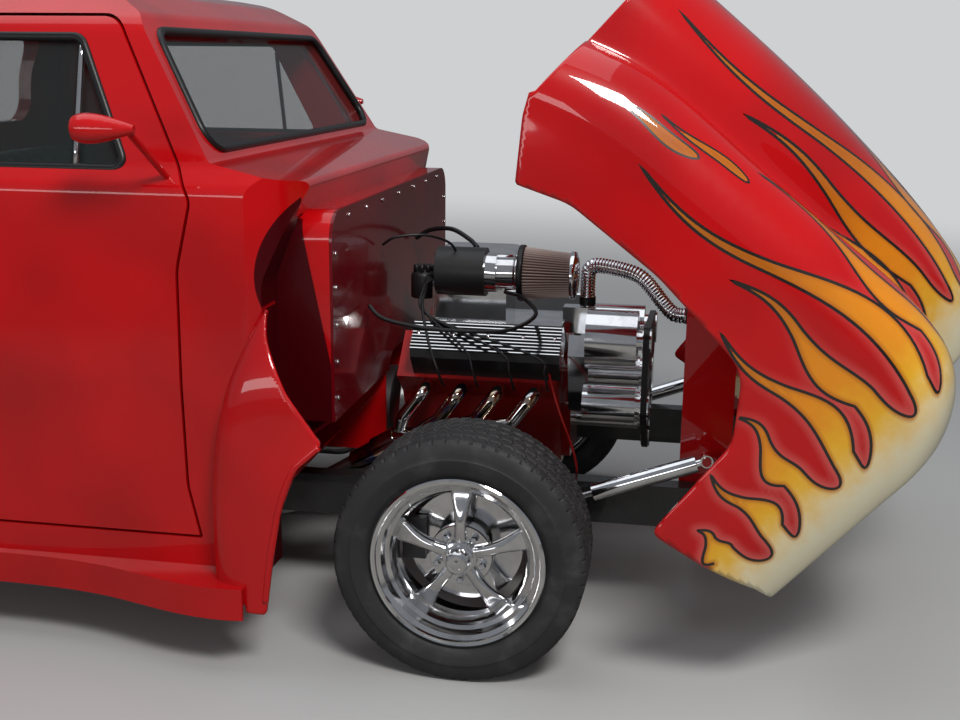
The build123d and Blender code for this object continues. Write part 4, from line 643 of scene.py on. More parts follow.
# %% Trim a grid by an outline
def rounded(points, radii, steps=10):
    """A closed outline whose corners are replaced by arcs of the given radii."""
    points = np.asarray(points, float)
    line = []
    for k, radius in enumerate(radii):
        here = points[k]
        ways = points[k - 1] - here, points[(k + 1) % len(points)] - here
        one, two = (way / np.linalg.norm(way) for way in ways)
        if radius <= 0:
            line.append(here[None])
            continue
        spread = np.arccos(np.clip(one @ two, -1, 1)) / 2
        reach = radius / np.tan(spread)
        centre = here + (one + two) / np.linalg.norm(one + two) * radius / np.sin(spread)
        start, end = (np.arctan2(*(here + way * reach - centre)[::-1]) for way in (one, two))
        angle = start + ((end - start + pi) % TAU - pi) * np.linspace(0, 1, steps)
        line.append(centre + radius * np.stack([np.cos(angle), np.sin(angle)], 1))
    return np.concatenate(line)


def nearest(points, line):
    """For each flat point, its nearest point on a closed line and whether the line holds it."""
    start, end = line, np.roll(line, -1, 0)
    best = np.full(len(points), 1e18)
    spot = np.array(points, float)
    inside = np.zeros(len(points), bool)
    for a, b in zip(start, end):
        way = b - a
        t = np.clip(((points - a) @ way) / max(way @ way, 1e-12), 0, 1)[:, None]
        near = a + t * way
        gap = ((points - near) ** 2).sum(1)
        better = gap < best
        best[better], spot[better] = gap[better], near[better]
        crosses = (a[1] > points[:, 1]) != (b[1] > points[:, 1])
        if a[1] != b[1]:
            inside ^= crosses & (points[:, 0] < a[0] + (points[:, 1] - a[1]) / (b[1] - a[1]) * way[0])
    return spot, np.sqrt(best), inside


def trim(points, faces, line, plane, keep_inside, where=None):
    """Drops faces beyond a line drawn in a plane of two axes and fits the edge to the line."""
    plane = list(plane)
    middles = points[faces].mean(1)
    inside = nearest(middles[:, plane], line)[2]
    keep = inside == keep_inside
    if where is not None:
        keep |= ~where(middles)
    faces = faces[keep]
    edges = np.sort(np.concatenate([faces[:, [k, (k + 1) % 4]] for k in range(4)]), 1)
    unique, counts = np.unique(edges, axis=0, return_counts=True)
    rim = np.unique(unique[counts == 1])
    if where is not None:
        rim = rim[where(points[rim])]
    spot, gap, _ = nearest(points[rim][:, plane], line)
    close = gap < 9
    points = points.copy()
    points[np.ix_(rim[close], plane)] = spot[close]
    return points, faces


PARTING = ((-327, 650), (-420, 775), (-484, 905), (-512, 1030), (-412, 1276))
edge_line = rounded(
    [(a + 4, z) for a, z in PARTING]
    + [(-404, 1400), (900, 1400), (900, 330), (776, 327), (630, 288), (488, 263), (462, 560), (352, 704),
       (60, 724), (-200, 704)],
    (10, 120, 110, 80, 60, 0, 0, 0, 0, 30, 20, 90, 120, 400, 160),
)
skin_points = skin.reshape(-1, 3)
skin_faces = grid_faces(*skin.shape[:2])
trimmed, kept = trim(skin_points, skin_faces, edge_line, (0, 2), True)
on_nose = lambda p: p[:, 0] > 838
grille_line = rounded([(-440, 582), (440, 582), (440, 818), (-440, 818)], (100,) * 4)
trimmed, kept = trim(trimmed, kept, grille_line, (1, 2), False, on_nose)
circle = np.stack([np.cos(np.arange(48) * TAU / 48), np.sin(np.arange(48) * TAU / 48)], 1)
for side in (-1, 1):
    trimmed, kept = trim(trimmed, kept, circle * 93 + (side * 664, 800), (1, 2), False, on_nose)
print("front end faces kept:", len(kept))


def swing(points, turn=OPEN):
    """Front-end places, given shut in millimetres, swung open about the hinge, in metres."""
    x, z = points[..., 0] - HINGE[0], points[..., 2] - HINGE[1]
    swung = np.stack([HINGE[0] + x * cos(turn) + z * sin(turn), points[..., 1],
                      HINGE[1] - x * sin(turn) + z * cos(turn)], -1)
    return swung / 1000 + (FRONT_AXLE, 0, 0)


# %% [markdown]
# Traditional hot-rod flames start as one sheet of pale yellow at the nose, split at rounded
# teardrops and run back in licks that sway and end in points. The licks below are rows of a table:
# where each one starts across the body, where it ends, how far back it reaches and how it sways.
# The outline is one line over the unrolled skin. The airbrushed colours come from the distance to
# it, and the painted pinstripe is a thin ribbon laid along it, which stays crisp at any distance.

# %% Flame outline on the unrolled skin
UNROLL = 1826.0
# Columns: the root's place ahead, across at the root, across at the tip (0 the hood's middle, 1 the
# fender's foot), the tip's place ahead, width at the root, sway
LICKS = (
    (560, 0.030, 0.020, 60, 0.044, 0.010), (640, 0.095, 0.120, -230, 0.046, -0.016),
    (550, 0.160, 0.150, 20, 0.042, 0.013), (645, 0.225, 0.250, -320, 0.048, -0.018),
    (560, 0.290, 0.285, -40, 0.042, 0.014), (640, 0.352, 0.374, -330, 0.044, -0.014),
    (565, 0.415, 0.420, -50, 0.044, 0.012), (650, 0.478, 0.492, -210, 0.046, -0.016),
    (575, 0.542, 0.535, 60, 0.042, 0.013), (655, 0.606, 0.640, -150, 0.044, -0.015),
    (590, 0.670, 0.672, 180, 0.042, 0.012), (670, 0.735, 0.728, 250, 0.044, -0.012),
    (620, 0.800, 0.795, 420, 0.042, 0.010), (690, 0.865, 0.870, 480, 0.044, -0.008),
    (650, 0.935, 0.935, 560, 0.046, 0.006),
)
# Sparks that fly loose behind the licks, with the same columns
SPARKS = ((-60, 0.585, 0.600, -330, 0.020, 0.004), (60, 0.562, 0.574, -190, 0.016, -0.003))


def edges_about(ahead, across, half_width):
    """The near and the far edge of a band about a middle line."""
    return [np.stack([ahead, (across + side * half_width) * UNROLL], 1) for side in (-1, 1)]


def lick_edges(root, start, end, tip, width, sway, steps=36):
    """The two edges of one lick from its root to its tip: a swaying middle line, thinning to a point."""
    t = np.linspace(0, 1, steps)
    across = start + (end - start) * (3 * t**2 - 2 * t**3) + sway * np.sin(TAU * t)
    belly = 0.72 + 0.55 * np.sin(pi * np.clip(t * 1.9, 0, 1)) * (1 - t)
    return edges_about(root + (tip - root) * t, across, 0.5 * width * (1 - t) ** 0.9 * belly)


def spark_edge(root, start, end, tip, width, sway, steps=30):
    """The closed outline of a loose spark: a swaying middle line, fat in front and thin behind."""
    t = np.linspace(0, 1, steps)
    across = start + (end - start) * t + sway * np.sin(TAU * t)
    half_width = 0.5 * width * np.sin(pi * t**0.6) * (1 - 0.4 * t)
    near, far = edges_about(root + (tip - root) * t, across, half_width)
    return np.concatenate([near, far[::-1][1:]])


def teardrop(first, last, steps=16):
    """The rounded front end of a gap, from one lick's edge to the next one's."""
    centre, reach = (first + last) / 2, np.linalg.norm(last - first) / 2
    angle = np.linspace(0, pi, steps + 2)[1:-1]
    bulge = 1 + 0.35 * np.sin(angle) ** 2
    along = (last - first) / 2
    ahead = np.array([1.0, 0.0]) * reach * 1.5
    return centre - np.cos(angle)[:, None] * along * bulge[:, None] + np.sin(angle)[:, None] * ahead


outline = []
edges = [lick_edges(*lick) for lick in LICKS]
for k, (near, far) in enumerate(edges):
    outline += [near, far[::-1][1:]]
    if k + 1 < len(edges):
        outline.append(teardrop(far[0], edges[k + 1][0][0]))
painted_line = np.concatenate(outline)
first_ahead, last_ahead = painted_line[[0, -1], 0]
closing = np.array([(last_ahead, 2300.0), (1500.0, 2300.0), (1500.0, -200.0), (first_ahead, -200.0)])
flame_line = np.concatenate([painted_line, closing])
spark_lines = [spark_edge(*spark) for spark in SPARKS]
print("flame outline points:", len(painted_line))


# %% [markdown]
# Every point of the skin gets two numbers: how far it lies inside the flames, or outside them as
# a negative number, and its place ahead. Beyond the nose's edge each row counts as a centimetre.

# %% Flame distance on the skin
rows_index, columns_index = np.divmod(np.arange(len(skin_points)), columns)
nose_rows = len(row_places)
on_body = row_places[np.minimum(rows_index, nose_rows - 1)]
unrolled_ahead = np.where(rows_index < nose_rows, on_body, NOSE + (rows_index - nose_rows) * 10)
unrolled = np.stack([unrolled_ahead, np.abs(columns_index - middle) / middle * UNROLL], 1)
used, shell_faces = in_use(kept, len(skin_points))
_, reach, inside = nearest(unrolled[used], flame_line)
for line in spark_lines:
    _, spark_reach, spark_inside = nearest(unrolled[used], line)
    reach = np.minimum(reach, spark_reach)
    inside = inside | spark_inside
shell = piece("front_shell_skin", swing(trimmed[used]), shell_faces[:, ::-1], red_paint, "front_end",
              replaces=("front_shell",))
mark(shell, "lick_depth", np.clip(np.where(inside, reach, -reach), -60, 90) / 1000)
mark(shell, "nose_place", unrolled[used, 0] / 1000)
thicken(shell)
print("front skin points:", len(used))


# %% [markdown]
# The pinstripe lies on the real skin: each point of the outline is looked up in the grid, between
# its four neighbours, and a narrow ribbon is laid square to the line there.

# %% Pinstripe along the flames
def over_skin(flat):
    """Points of the unrolled skin put back on the real one, with the skin's outward direction."""
    normals = np.cross(np.gradient(skin[:nose_rows], axis=0), np.gradient(skin[:nose_rows], axis=1))
    normals /= np.linalg.norm(normals, axis=2)[..., None]
    row = np.interp(flat[:, 0], row_places, np.arange(nose_rows))
    column = middle + flat[:, 1] / UNROLL * middle
    r, c = np.clip(row.astype(int), 0, nose_rows - 2), np.clip(column.astype(int), 0, columns - 2)
    u, v = (row - r)[:, None], (column - c)[:, None]
    blend = lambda table: (table[r, c] * (1 - u) * (1 - v) + table[r + 1, c] * u * (1 - v)
                           + table[r, c + 1] * (1 - u) * v + table[r + 1, c + 1] * u * v)
    return blend(skin), blend(normals)


def pinstripe(flat, width):
    """A ribbon of paint along a line on the skin, as wide as given, a fifth of a millimetre proud."""
    spot, normal = over_skin(flat)
    way = np.gradient(spot, axis=0)
    way /= np.maximum(np.linalg.norm(way, axis=1), 1e-9)[:, None]
    side = np.cross(normal, way)
    side /= np.maximum(np.linalg.norm(side, axis=1), 1e-9)[:, None]
    lift = normal * 0.35
    points = np.stack([spot + lift - side * width / 2, spot + lift + side * width / 2], 1)
    return points.reshape(-1, 3), grid_faces(len(spot), 2)[:, ::-1]


LICK_STRIPE, SPARK_STRIPE = 7.0, 5.0
stripe_paint = Finish("pinstripe enamel", (0.012, 0.008, 0.006), 0.3, Coat_Weight=1.0, Coat_Roughness=0.04)
seen = nearest(over_skin(painted_line)[0][:, [0, 2]], edge_line)[2]
turns = np.diff(np.concatenate([[0], seen.astype(int), [0]]))
stretches = zip(np.flatnonzero(turns == 1), np.flatnonzero(turns == -1))
ribbons = [pinstripe(painted_line[begin:stop], LICK_STRIPE) for begin, stop in stretches if stop - begin > 3]
ribbons += [pinstripe(line, SPARK_STRIPE) for line in spark_lines]
stripe_points, stripe_faces = joined([half for ribbon in ribbons for half in both_sides(ribbon)])
piece("flame_pinstripe", swing(stripe_points), stripe_faces, stripe_paint, "front_end")
print("pinstripe stretches:", len(ribbons))


# %% [markdown]
# The flames go from amber at the tips through gold to cream at the nose and darken at their edges;
# around them, towards the nose, the red gets a faint painted glow of pink light.

# %% Airbrushed flame colours
flame_paint = lacquer("flame lacquer", RED, RED_SHADE)
depth = flame_paint.attribute("lick_depth")
forward_place = flame_paint.attribute("nose_place")
mottle = flame_paint.noise(0.05, 3.0)
heat = forward_place + (mottle - 0.5) * 0.10
amber = flame_paint.mix(heat.step(0.10, 0.52), (0.42, 0.10, 0.006), (0.80, 0.27, 0.010))
gold = flame_paint.mix(heat.step(0.50, 0.70), amber, (0.88, 0.50, 0.03))
cream = flame_paint.mix(heat.step(0.63, 0.80), gold, (0.92, 0.85, 0.62))
edge_shade = flame_paint.mix(depth.step(0.0, 0.016), (0.50, 0.14, 0.01), cream)
red_ground = drifting(flame_paint, RED, RED_SHADE)
# Painted light: a pink glow on the red just outside the flames, fading out towards the rear.
painted_glow = depth.step(-0.028, 0.0) * forward_place.step(0.25, 0.75) * 0.45
red_with_painted_glow = flame_paint.mix(painted_glow, red_ground, (0.80, 0.22, 0.20))
flame_paint.use(Base_Color=flame_paint.mix(depth > 0.0, red_with_painted_glow, edge_shade))
shell.data.materials[0] = flame_paint.material
print("flames painted")


# %% [markdown]
# A road tyre is a turned profile whose tread is cut into blocks. The grid has one ring per profile
# point, and the tread's rings sink into grooves: four that run round, and short ones across that
# are staggered from band to band. The side wall carries the fine ridges that moulds leave.

# %% Tyres
def tyre_surface(radius, width, rim=226.0, steps=360, blocks=60):
    """A tyre about its own axle: (points along the axle, faces), in millimetres."""
    half_wide = width / 2
    tread = half_wide - 20
    wall = smooth_path(
        [(rim, -96), (rim + 8, -101), (rim + 22, -half_wide + 8), (rim + 52, -half_wide),
         (radius - 48, -half_wide + 1), (radius - 26, -half_wide + 5), (radius - 9, -half_wide + 12),
         (radius - 2.5, -tread)], 32)
    arc = np.arange(len(wall))
    ridges = 0.7 * ((arc > 9) & (arc < 14)) * (arc % 2) + 0.6 * ((arc > 20) & (arc < 26)) * (arc % 2)
    wall[:, 1] -= ridges
    across = np.linspace(-tread, tread, 49)[1:-1]
    crown = np.stack([radius - 2.5 * (across / tread) ** 2, across], 1)
    inner_side = wall[::-1] * (1, -1)
    profile = np.concatenate([wall, crown, inner_side, [(rim - 3, 60.0), (rim - 3, -60.0)]])
    angle = np.arange(steps)
    sink = np.zeros((len(profile), steps))
    rows = np.arange(len(wall), len(wall) + len(crown))
    band_width = 2 * tread / 5
    band = np.floor((across + tread) / band_width).astype(int)
    beside = np.abs((across + tread) % band_width - band_width / 2)
    rounds = np.where((band_width / 2 - beside < 3.2) & (np.abs(across) < tread - 4), 7.0, 0.0)
    shift = (band * 2)[:, None] + np.round(np.abs(across) / 12)[:, None]
    pitch = steps // blocks
    cuts = np.where((angle[None] + shift) % pitch < 1, 6.5, 0.0)
    fine = np.where((angle[None] + shift) % pitch == pitch // 2 + 1, 1.6, 0.0)
    sink[rows] = np.maximum(rounds[:, None], np.maximum(cuts, fine))
    for first_row in (len(wall) - 5, rows[-1] + 1):
        sink[first_row:first_row + 5] = np.where(angle[None] % pitch < 1, 4.5, 0.0)
    turn = angle * TAU / steps
    reach = profile[:, :1] - sink
    beside_middle = np.broadcast_to(profile[:, 1:], reach.shape)
    points = np.stack([reach * np.cos(turn), beside_middle, reach * np.sin(turn)], 2)
    return points.reshape(-1, 3), grid_faces(len(profile), steps, wrap_rows=True, wrap_columns=True)


# Columns: the axle ahead, out from the middle, tyre radius and width, half the rim's width
wheel_places = {"front": (0, 770, 332, 240, 112), "rear": (-2794, 792, 355, 270, 122)}
SIDES = (("left", 1), ("right", -1))
for end, (ahead, y, radius, width, rim_half) in wheel_places.items():
    points, faces = tyre_surface(radius, width)
    for side, sign in SIDES:
        placed = points + (ahead, sign * y, radius)
        tyre = fitted(f"tyre_{end}_{side}_tread", [(placed, faces)], tyre_rubber, f"wheel_{end}_{side}",
                      replaces=(f"tyre_{end}_{side}",))
        tyre.data.set_sharp_from_angle(angle=radians(28))
print("tyre points each:", len(points))


# %% [markdown]
# Lug nuts, the cap's steps and the valve are what makes a wheel look like a real one. Each nut is a
# six-sided cone on a round washer, turned about its own axis and repeated round the hub.

# %% Wheel trim
def nut(centre, direction, size=10.5, height=22):
    """A tapered six-sided nut on its washer."""
    washer = [(0.001, 0), (size * 1.25, 0), (size * 1.25, 2.5), (0.001, 2.6)]
    hexagon = [(size, 2), (size, height * 0.6), (size * 0.82, height * 0.9), (size * 0.4, height),
               (0.001, height)]
    return joined([turned(washer, centre, direction, 24), turned(hexagon, centre, direction, 6)])


NUT_CIRCLE = 63
# Profiles as (radius, height above the hub's face)
HUB_COLLAR = [(36, 24), (39.5, 26), (39.5, 33), (36.5, 35), (30, 35), (30, 24), (36, 24)]
CAP_COLLAR = [(24, 58), (27, 59), (27, 63), (23, 65.5), (14, 65.5), (14, 58), (24, 58)]
RIM_LIP = [(226, -4), (229.5, -1), (229.5, 3), (226, 6), (221, 4.5), (219, 0)]
for end, (ahead, y, radius, width, rim_half) in wheel_places.items():
    for side, sign in SIDES:
        out = np.array([0, sign, 0.0])
        hub = np.array([ahead, sign * (y + 52), radius])
        turn = np.arange(5) * TAU / 5 + pi / 2 + pi / 5
        spots = hub + NUT_CIRCLE * np.stack([np.cos(turn), 0 * turn, np.sin(turn)], 1)
        valve = np.array([(-132, sign * (rim_half - 112), 132), (-126, sign * (rim_half - 82), 126)])
        parts = [nut(spot, out) for spot in spots]
        parts += [turned(collar, hub, out, 48) for collar in (HUB_COLLAR, CAP_COLLAR)]
        parts.append(turned(RIM_LIP, hub + out * (rim_half - 56), out, 96))
        parts.append(drawn(hub + valve, 3.6, 10))
        fitted(f"wheel_trim_{end}_{side}", parts, chrome, f"wheel_{end}_{side}", smooth=False)
print("wheel trim made")


# %% [markdown]
# The solids come as plain facets. A merged copy with smooth shading that stops at hard edges looks
# like pressed or cast metal, and it stands exactly where its solid does.

# %% Smooth copies of the solids
bodies = frame["record"]["behaviour"]["bodies"]
body_of_node = {name: body for body, names in bodies.items() for name in names}
SHARPER_THAN = radians(26)


def smooth_copy(name, finish, second=None, test=None):
    """A merged, smooth-shaded copy of a solid; faces whose middles pass a test get the second finish."""
    mesh = frame["nodes"][name].data.copy()
    shape = bpy.data.objects.new(f"{name}_surface", mesh)
    bpy.context.collection.objects.link(shape)
    bpy.context.view_layer.objects.active = shape
    weld = shape.modifiers.new("weld", "WELD")
    weld.merge_threshold = 0.00002
    graph = bpy.context.evaluated_depsgraph_get()
    finished = bpy.data.meshes.new_from_object(shape.evaluated_get(graph))
    shape.modifiers.clear()
    shape.data = finished
    stored = finished.attributes.get("custom_normal")
    if stored:
        finished.attributes.remove(stored)
    finished.polygons.foreach_set("use_smooth", [True] * len(finished.polygons))
    finished.set_sharp_from_angle(angle=SHARPER_THAN)
    finished.materials.clear()
    finished.materials.append(finish.material)
    if second:
        finished.materials.append(second.material)
        middles = np.empty(3 * len(finished.polygons), np.float32)
        finished.polygons.foreach_get("center", middles)
        middles = (middles.reshape(-1, 3) - (FRONT_AXLE, 0, 0)) * 1000
        finished.polygons.foreach_set("material_index", test(*middles.T).astype(int))
    weighted = shape.modifiers.new("even shading", "WEIGHTED_NORMAL")
    weighted.keep_sharp = True
    weighted.weight = 80
    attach(shape, body_of_node[name])
    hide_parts(name)
    return shape


smoothed = {
    red_paint: panels,
    polished: (*wheels, "steering_column", "steering_wheel"),
    cast: ("driveline",),
    header_tube: ("exhaust_headers",),
    bright_steel: ("exhaust_system",),
    chrome: ("grille", "tilt_cylinders"),
    iron: ("rear_axle", "knuckle_left", "knuckle_right"),
    frame_black: ("front_suspension",),
}
for finish, names in smoothed.items():
    for name in names:
        smooth_copy(name, finish)
smooth_copy("cab_body", cab_paint)
print("smooth copies:", 1 + sum(len(names) for names in smoothed.values()))


# %% [markdown]
# Three solids carry two finishes. A test on the middle of each face picks the ones that are black:
# the drive belt, the throttle drum's back with the manifold's low ports, and the floor between the
# valve covers' fins.

# %% Copies with a second finish
# Columns: across, up and radius of each pulley
PULLEYS = ((0, 490, 84), (0, 640, 60), (-220, 790, 36), (215, 740, 50), (-205, 590, 52))


def on_belt(ahead, y, z):
    """True where the drive belt runs: in its plane and outside every pulley."""
    outside = np.ones(len(y), bool)
    for across, height, radius in PULLEYS:
        outside &= np.hypot(y - across, z - height) > radius + 0.3
    return (ahead > 422) & (ahead < 442) & outside


def dark_trim(ahead, y, z):
    """True on the throttle drum's back half and on the manifold's low ports."""
    return ((np.hypot(y + 100, z - 955) < 76) & (ahead > -218) & (ahead < -64)) | (z < 742)


def between_fins(ahead, y, z):
    """True on a valve cover below its fins' tops; both covers lean 45 degrees."""
    return (0.7071 * (np.abs(y) + z - 490) < 431.5) & (ahead > -249) & (ahead < 189)


two_tone = {
    "intake": (black_plastic, dark_trim),
    "accessory_drive": (seal_rubber, on_belt),
    "valve_covers": (black_plastic, between_fins),
}
for name, (second, test) in two_tone.items():
    smooth_copy(name, polished, second, test)
print("two-tone copies:", len(two_tone))


# %% [markdown]
# The seat is stitched in upright channels. Its side profile is carried across the cab and drawn in
# at both ends, and its padding swells between the seams: the swelling is a rounded wave across the
# seat that fades out underneath, where the cushion lies flat on its base.

# %% Channelled seat
def channelled(outline, radii, half_wide, channels, swell, flat_below):
    """A padded form with upright channels, closed at both ends: (points, faces) in millimetres."""
    line = rounded(outline, radii, 8)
    runs = np.linalg.norm(np.roll(line, -1, 0) - line, axis=1)
    place = np.concatenate([[0], np.cumsum(runs)])
    closed = np.vstack([line, line[:1]])
    even = np.linspace(0, place[-1], 97)[:-1]
    ring = np.stack([np.interp(even, place, closed[:, k]) for k in (0, 1)], 1)
    way = np.roll(ring, -1, 0) - np.roll(ring, 1, 0)
    turned_way = np.stack([way[:, 1], -way[:, 0]], 1) / np.linalg.norm(way, axis=1)[:, None]
    middle_spot = ring.mean(0)
    if ((ring - middle_spot) * turned_way).sum() < 0:
        turned_way = -turned_way
    y = half_wide * np.sin(np.linspace(-pi / 2, pi / 2, 221))
    t = np.abs(y) / half_wide
    draw = (1 - np.clip((t - 0.90) / 0.10, 0, 1) ** 2.6) ** 0.5
    wave = np.abs(np.sin(pi * (y / half_wide + 1) * channels / 2)) ** 0.45
    soft_top = np.clip((ring[:, 1] - flat_below) / 40, 0, 1)
    puff = (wave - 1)[:, None] * swell * soft_top[None] * (t < 0.97)[:, None]
    inset = 46 * (1 - draw)[:, None, None]
    spots = ring[None] - turned_way[None] * inset + turned_way[None] * puff[..., None]
    across = np.broadcast_to(y[:, None], spots.shape[:2])
    points = np.stack([spots[..., 0], across, spots[..., 1]], 2)
    caps = [np.broadcast_to(end.mean(0), end.shape) for end in (points[0], points[-1])]
    points = np.concatenate([caps[0][None], points, caps[1][None]])
    return points.reshape(-1, 3), grid_faces(len(points), len(ring), wrap_columns=True)


SEAT_HALF, CHANNELS, SWELL = 638, 16, 11
# Columns: the side profile's corners, their radii, the height below which the padding stays flat
seat_forms = {
    "seat_cushion": ([(-1640, 602), (-1032, 602), (-1024, 786), (-1640, 760)], (12, 40, 60, 24), 605),
    "seat_back": ([(-1780, 602), (-1644, 602), (-1704, 1266), (-1846, 1266)], (24, 24, 60, 60), 640),
}
for name, (corner_points, corner_radii, flat_below) in seat_forms.items():
    form = channelled(corner_points, corner_radii, SEAT_HALF, CHANNELS, SWELL, flat_below)
    pad = fitted(f"{name}_pad", [form], leather, replaces=(name,))
print("seat pads made")


# %% [markdown]
# Each fender tail stays with the cab when the front end opens. Its skin is a grid: rows climb, and
# every row is the same quarter round from the door's side out to the fender's face, then straight
# ahead. Heights, rear edges and widths come from a short table and are blended by the spline. The
# side outline then trims it along the parting line and round the wheel arch, and a rolled lip
# follows the arch.

# %% Fender tails
# Columns: height, the rear edge ahead of the axle, distance out from the middle
TAIL = np.array([
    (150, -652, 956), (252, -652, 954), (540, -649, 951), (700, -622, 946),
    (800, -590, 934), (880, -553, 908), (940, -519, 876), (985, -487, 846),
], float)
INNER, ROUND, FRONT = 846, 150, -290
tail_heights = np.linspace(170, 984, 100)
rear, width = spline(TAIL[:, 0], TAIL[:, 1:], tail_heights).T
t = np.linspace(0, 1, 34)[None, :]
bezier = ((1 - t) ** 3, 3 * t * (1 - t) ** 2, 3 * t**2 * (1 - t), t**3)


def quarter(*corners):
    """The Bezier curve through four corner values, for every row at once."""
    return sum(weight * corner[:, None] for weight, corner in zip(bezier, corners))


round_x = quarter(rear, rear, rear + 0.3 * ROUND, rear + ROUND)
round_y = quarter(0 * rear + INNER, INNER + 0.85 * (width - INNER), width, width)
front_x = (rear + ROUND)[:, None] + (FRONT - rear - ROUND)[:, None] * np.linspace(0, 1, 26)[None, 1:]
tail_x = np.concatenate([round_x, front_x], 1)
tail_y = np.concatenate([round_y, np.broadcast_to(width[:, None], front_x.shape)], 1)
tail_z = np.broadcast_to(tail_heights[:, None], tail_x.shape)
tail_points = np.stack([tail_x, tail_y, tail_z], 2).reshape(-1, 3)
tail_line = rounded(
    [(-720, 200), (-720, 990), (-508, 990)] + [(a - 4, z) for a, z in reversed(PARTING[:3])]
    + [(-398, 580), (-440, 470), (-466, 330), (-488, 180), (-546, 180), (-546, 200)],
    (0, 0, 12, 110, 120, 8, 90, 110, 90, 10, 10, 0))
points, faces = trim(tail_points, grid_faces(*tail_x.shape), tail_line, (0, 2), True)
used, tail_faces = in_use(faces, len(points))
left_tail = (points[used], tail_faces[:, ::-1])
thicken(fitted("fender_tail_skins", both_sides(left_tail), red_paint, replaces=("fender_tails",)))
arch_spots = [(-331, 646), (-368, 612), (-400, 578), (-432, 500), (-454, 410), (-470, 320), (-484, 215)]
arch = smooth_path(arch_spots, 70)
arch_lip = drawn(np.stack([arch[:, 0] - 7, 0 * arch[:, 0] + 949, arch[:, 1] - 2], 1), 9.0, 14)
fitted("fender_tail_lips", both_sides(arch_lip), red_paint)
print("fender tails made, faces:", len(tail_faces))


# %% [markdown]
# Air reaches the engine through a conical filter: gauze folded into deep pleats between a chrome
# cap and a rubber flange, with a worm clamp round its neck. The pleats are a triangle wave round
# the cone, and an attribute marks their crests, so that painted shade darkens the valleys and painted light
# the crests.

# %% Air filter
FILTER = (-100.0, 955.0)
PLEATS, STEPS = 52, 6


def filter_pleats(depth=8.0):
    """The folded gauze as a cone of rings; returns points, faces and how near each is to a crest."""
    step = np.arange(PLEATS * STEPS)
    turn = step * TAU / len(step)
    crest = np.abs(step % STEPS / 3 - 1)
    length = np.array([48, 48, 54, 90, 130, 170, 191, 197, 197.0])
    hollow = np.array([80, 3, 0, 0.6, 0.8, 0.6, 0, 3, 64.0])
    folded = np.array([0, 1, 1, 1, 1, 1, 1, 1, 0.0])
    radius = np.interp(length, (48, 197), (82, 66)) - hollow
    reach = radius[:, None] - depth * (1 - crest)[None] * folded[:, None]
    ahead = np.broadcast_to(length[:, None], reach.shape)
    points = np.stack([ahead, FILTER[0] + reach * np.cos(turn), FILTER[1] + reach * np.sin(turn)], 2)
    faces = grid_faces(len(length), len(turn), wrap_columns=True)[:, ::-1]
    return points.reshape(-1, 3), faces, np.tile(crest, len(length))


points, faces, crest = filter_pleats()
pleated = fitted("air_filter_gauze", [(points, faces)], gauze, smooth=False, replaces=("air_filter",))
mark(pleated, "pleat", crest)
base = np.array([0, *FILTER])
AHEAD = (1.0, 0, 0)
# Profiles as (radius, distance ahead)
cap_profile = [(0.01, 192), (70, 192), (72, 195), (72, 205), (70, 208), (60, 210), (54, 214), (30, 217),
               (0.01, 218)]
neck_profile = [(40, 20.5), (47, 20.5), (47, 23), (49.5, 23), (49.5, 35), (47, 35), (47, 38), (40, 38),
                (40, 20.5)]
screw_profile = [(0.01, 0), (5, 0), (5, 24), (4, 26), (0.01, 26)]
flange_profile = [(0.01, 36), (84, 36), (87, 39), (87, 51), (84, 54), (60, 55), (0.01, 55)]
bright = [turned(cap_profile, base, AHEAD, 72), turned(neck_profile, base, AHEAD, 64),
          turned(screw_profile, base + (29, -14, 52), (0, 1, 0), 12)]
fitted("air_filter_chrome", bright, chrome)
fitted("air_filter_flange", [turned(flange_profile, base, AHEAD, 72)], seal_rubber)
print("air filter made")


# %% [markdown]
# The upper radiator hose is a ribbed chrome sleeve with rubber ends. Its radius follows a wave
# along the route, so every rib is a true ridge.

# %% Ribbed hose
def bend(corners, count, ease=0.28):
    """A smooth route through corner points, straight between the bends."""
    corners = np.asarray(corners, float)
    spots = [corners[0]]
    for before, here, after in zip(corners, corners[1:], corners[2:]):
        spots += [here + (before - here) * ease, 0.5 * here + 0.25 * (before + (here - before) * (1 - ease))
                  + 0.25 * (after + (here - after) * (1 - ease)), here + (after - here) * ease]
    return smooth_path(np.array(spots + [corners[-1]]), count)


route = bend([(240, -40, 852), (240, -40, 985), (400, -85, 965), (500, -105, 848), (571, -105, 848)], 420)
along = np.concatenate([[0], np.cumsum(np.linalg.norm(np.diff(route, axis=0), axis=1))])
ribs_radius = 22.4 + 1.5 * np.cos(TAU * along / 9.5)
ribs_radius[(along < 34) | (along > along[-1] - 34)] = 23.6
fitted("radiator_hose_ribs", [drawn(route, ribs_radius, 24)], chrome, replaces=("radiator_hose",))
cuff_ends = ((4, 32), (along[-1] - 32, along[-1] - 4))
cuffs = [drawn(route[(along >= low) & (along <= high)], 25.2, 28) for low, high in cuff_ends]
fitted("radiator_hose_ends", cuffs, seal_rubber)
print("hose made")


# %% [markdown]
# Eight leads run from the distributor's towers over the valve covers to the plugs. Three lines
# cross the engine's top, and one red wire drops to the starter.

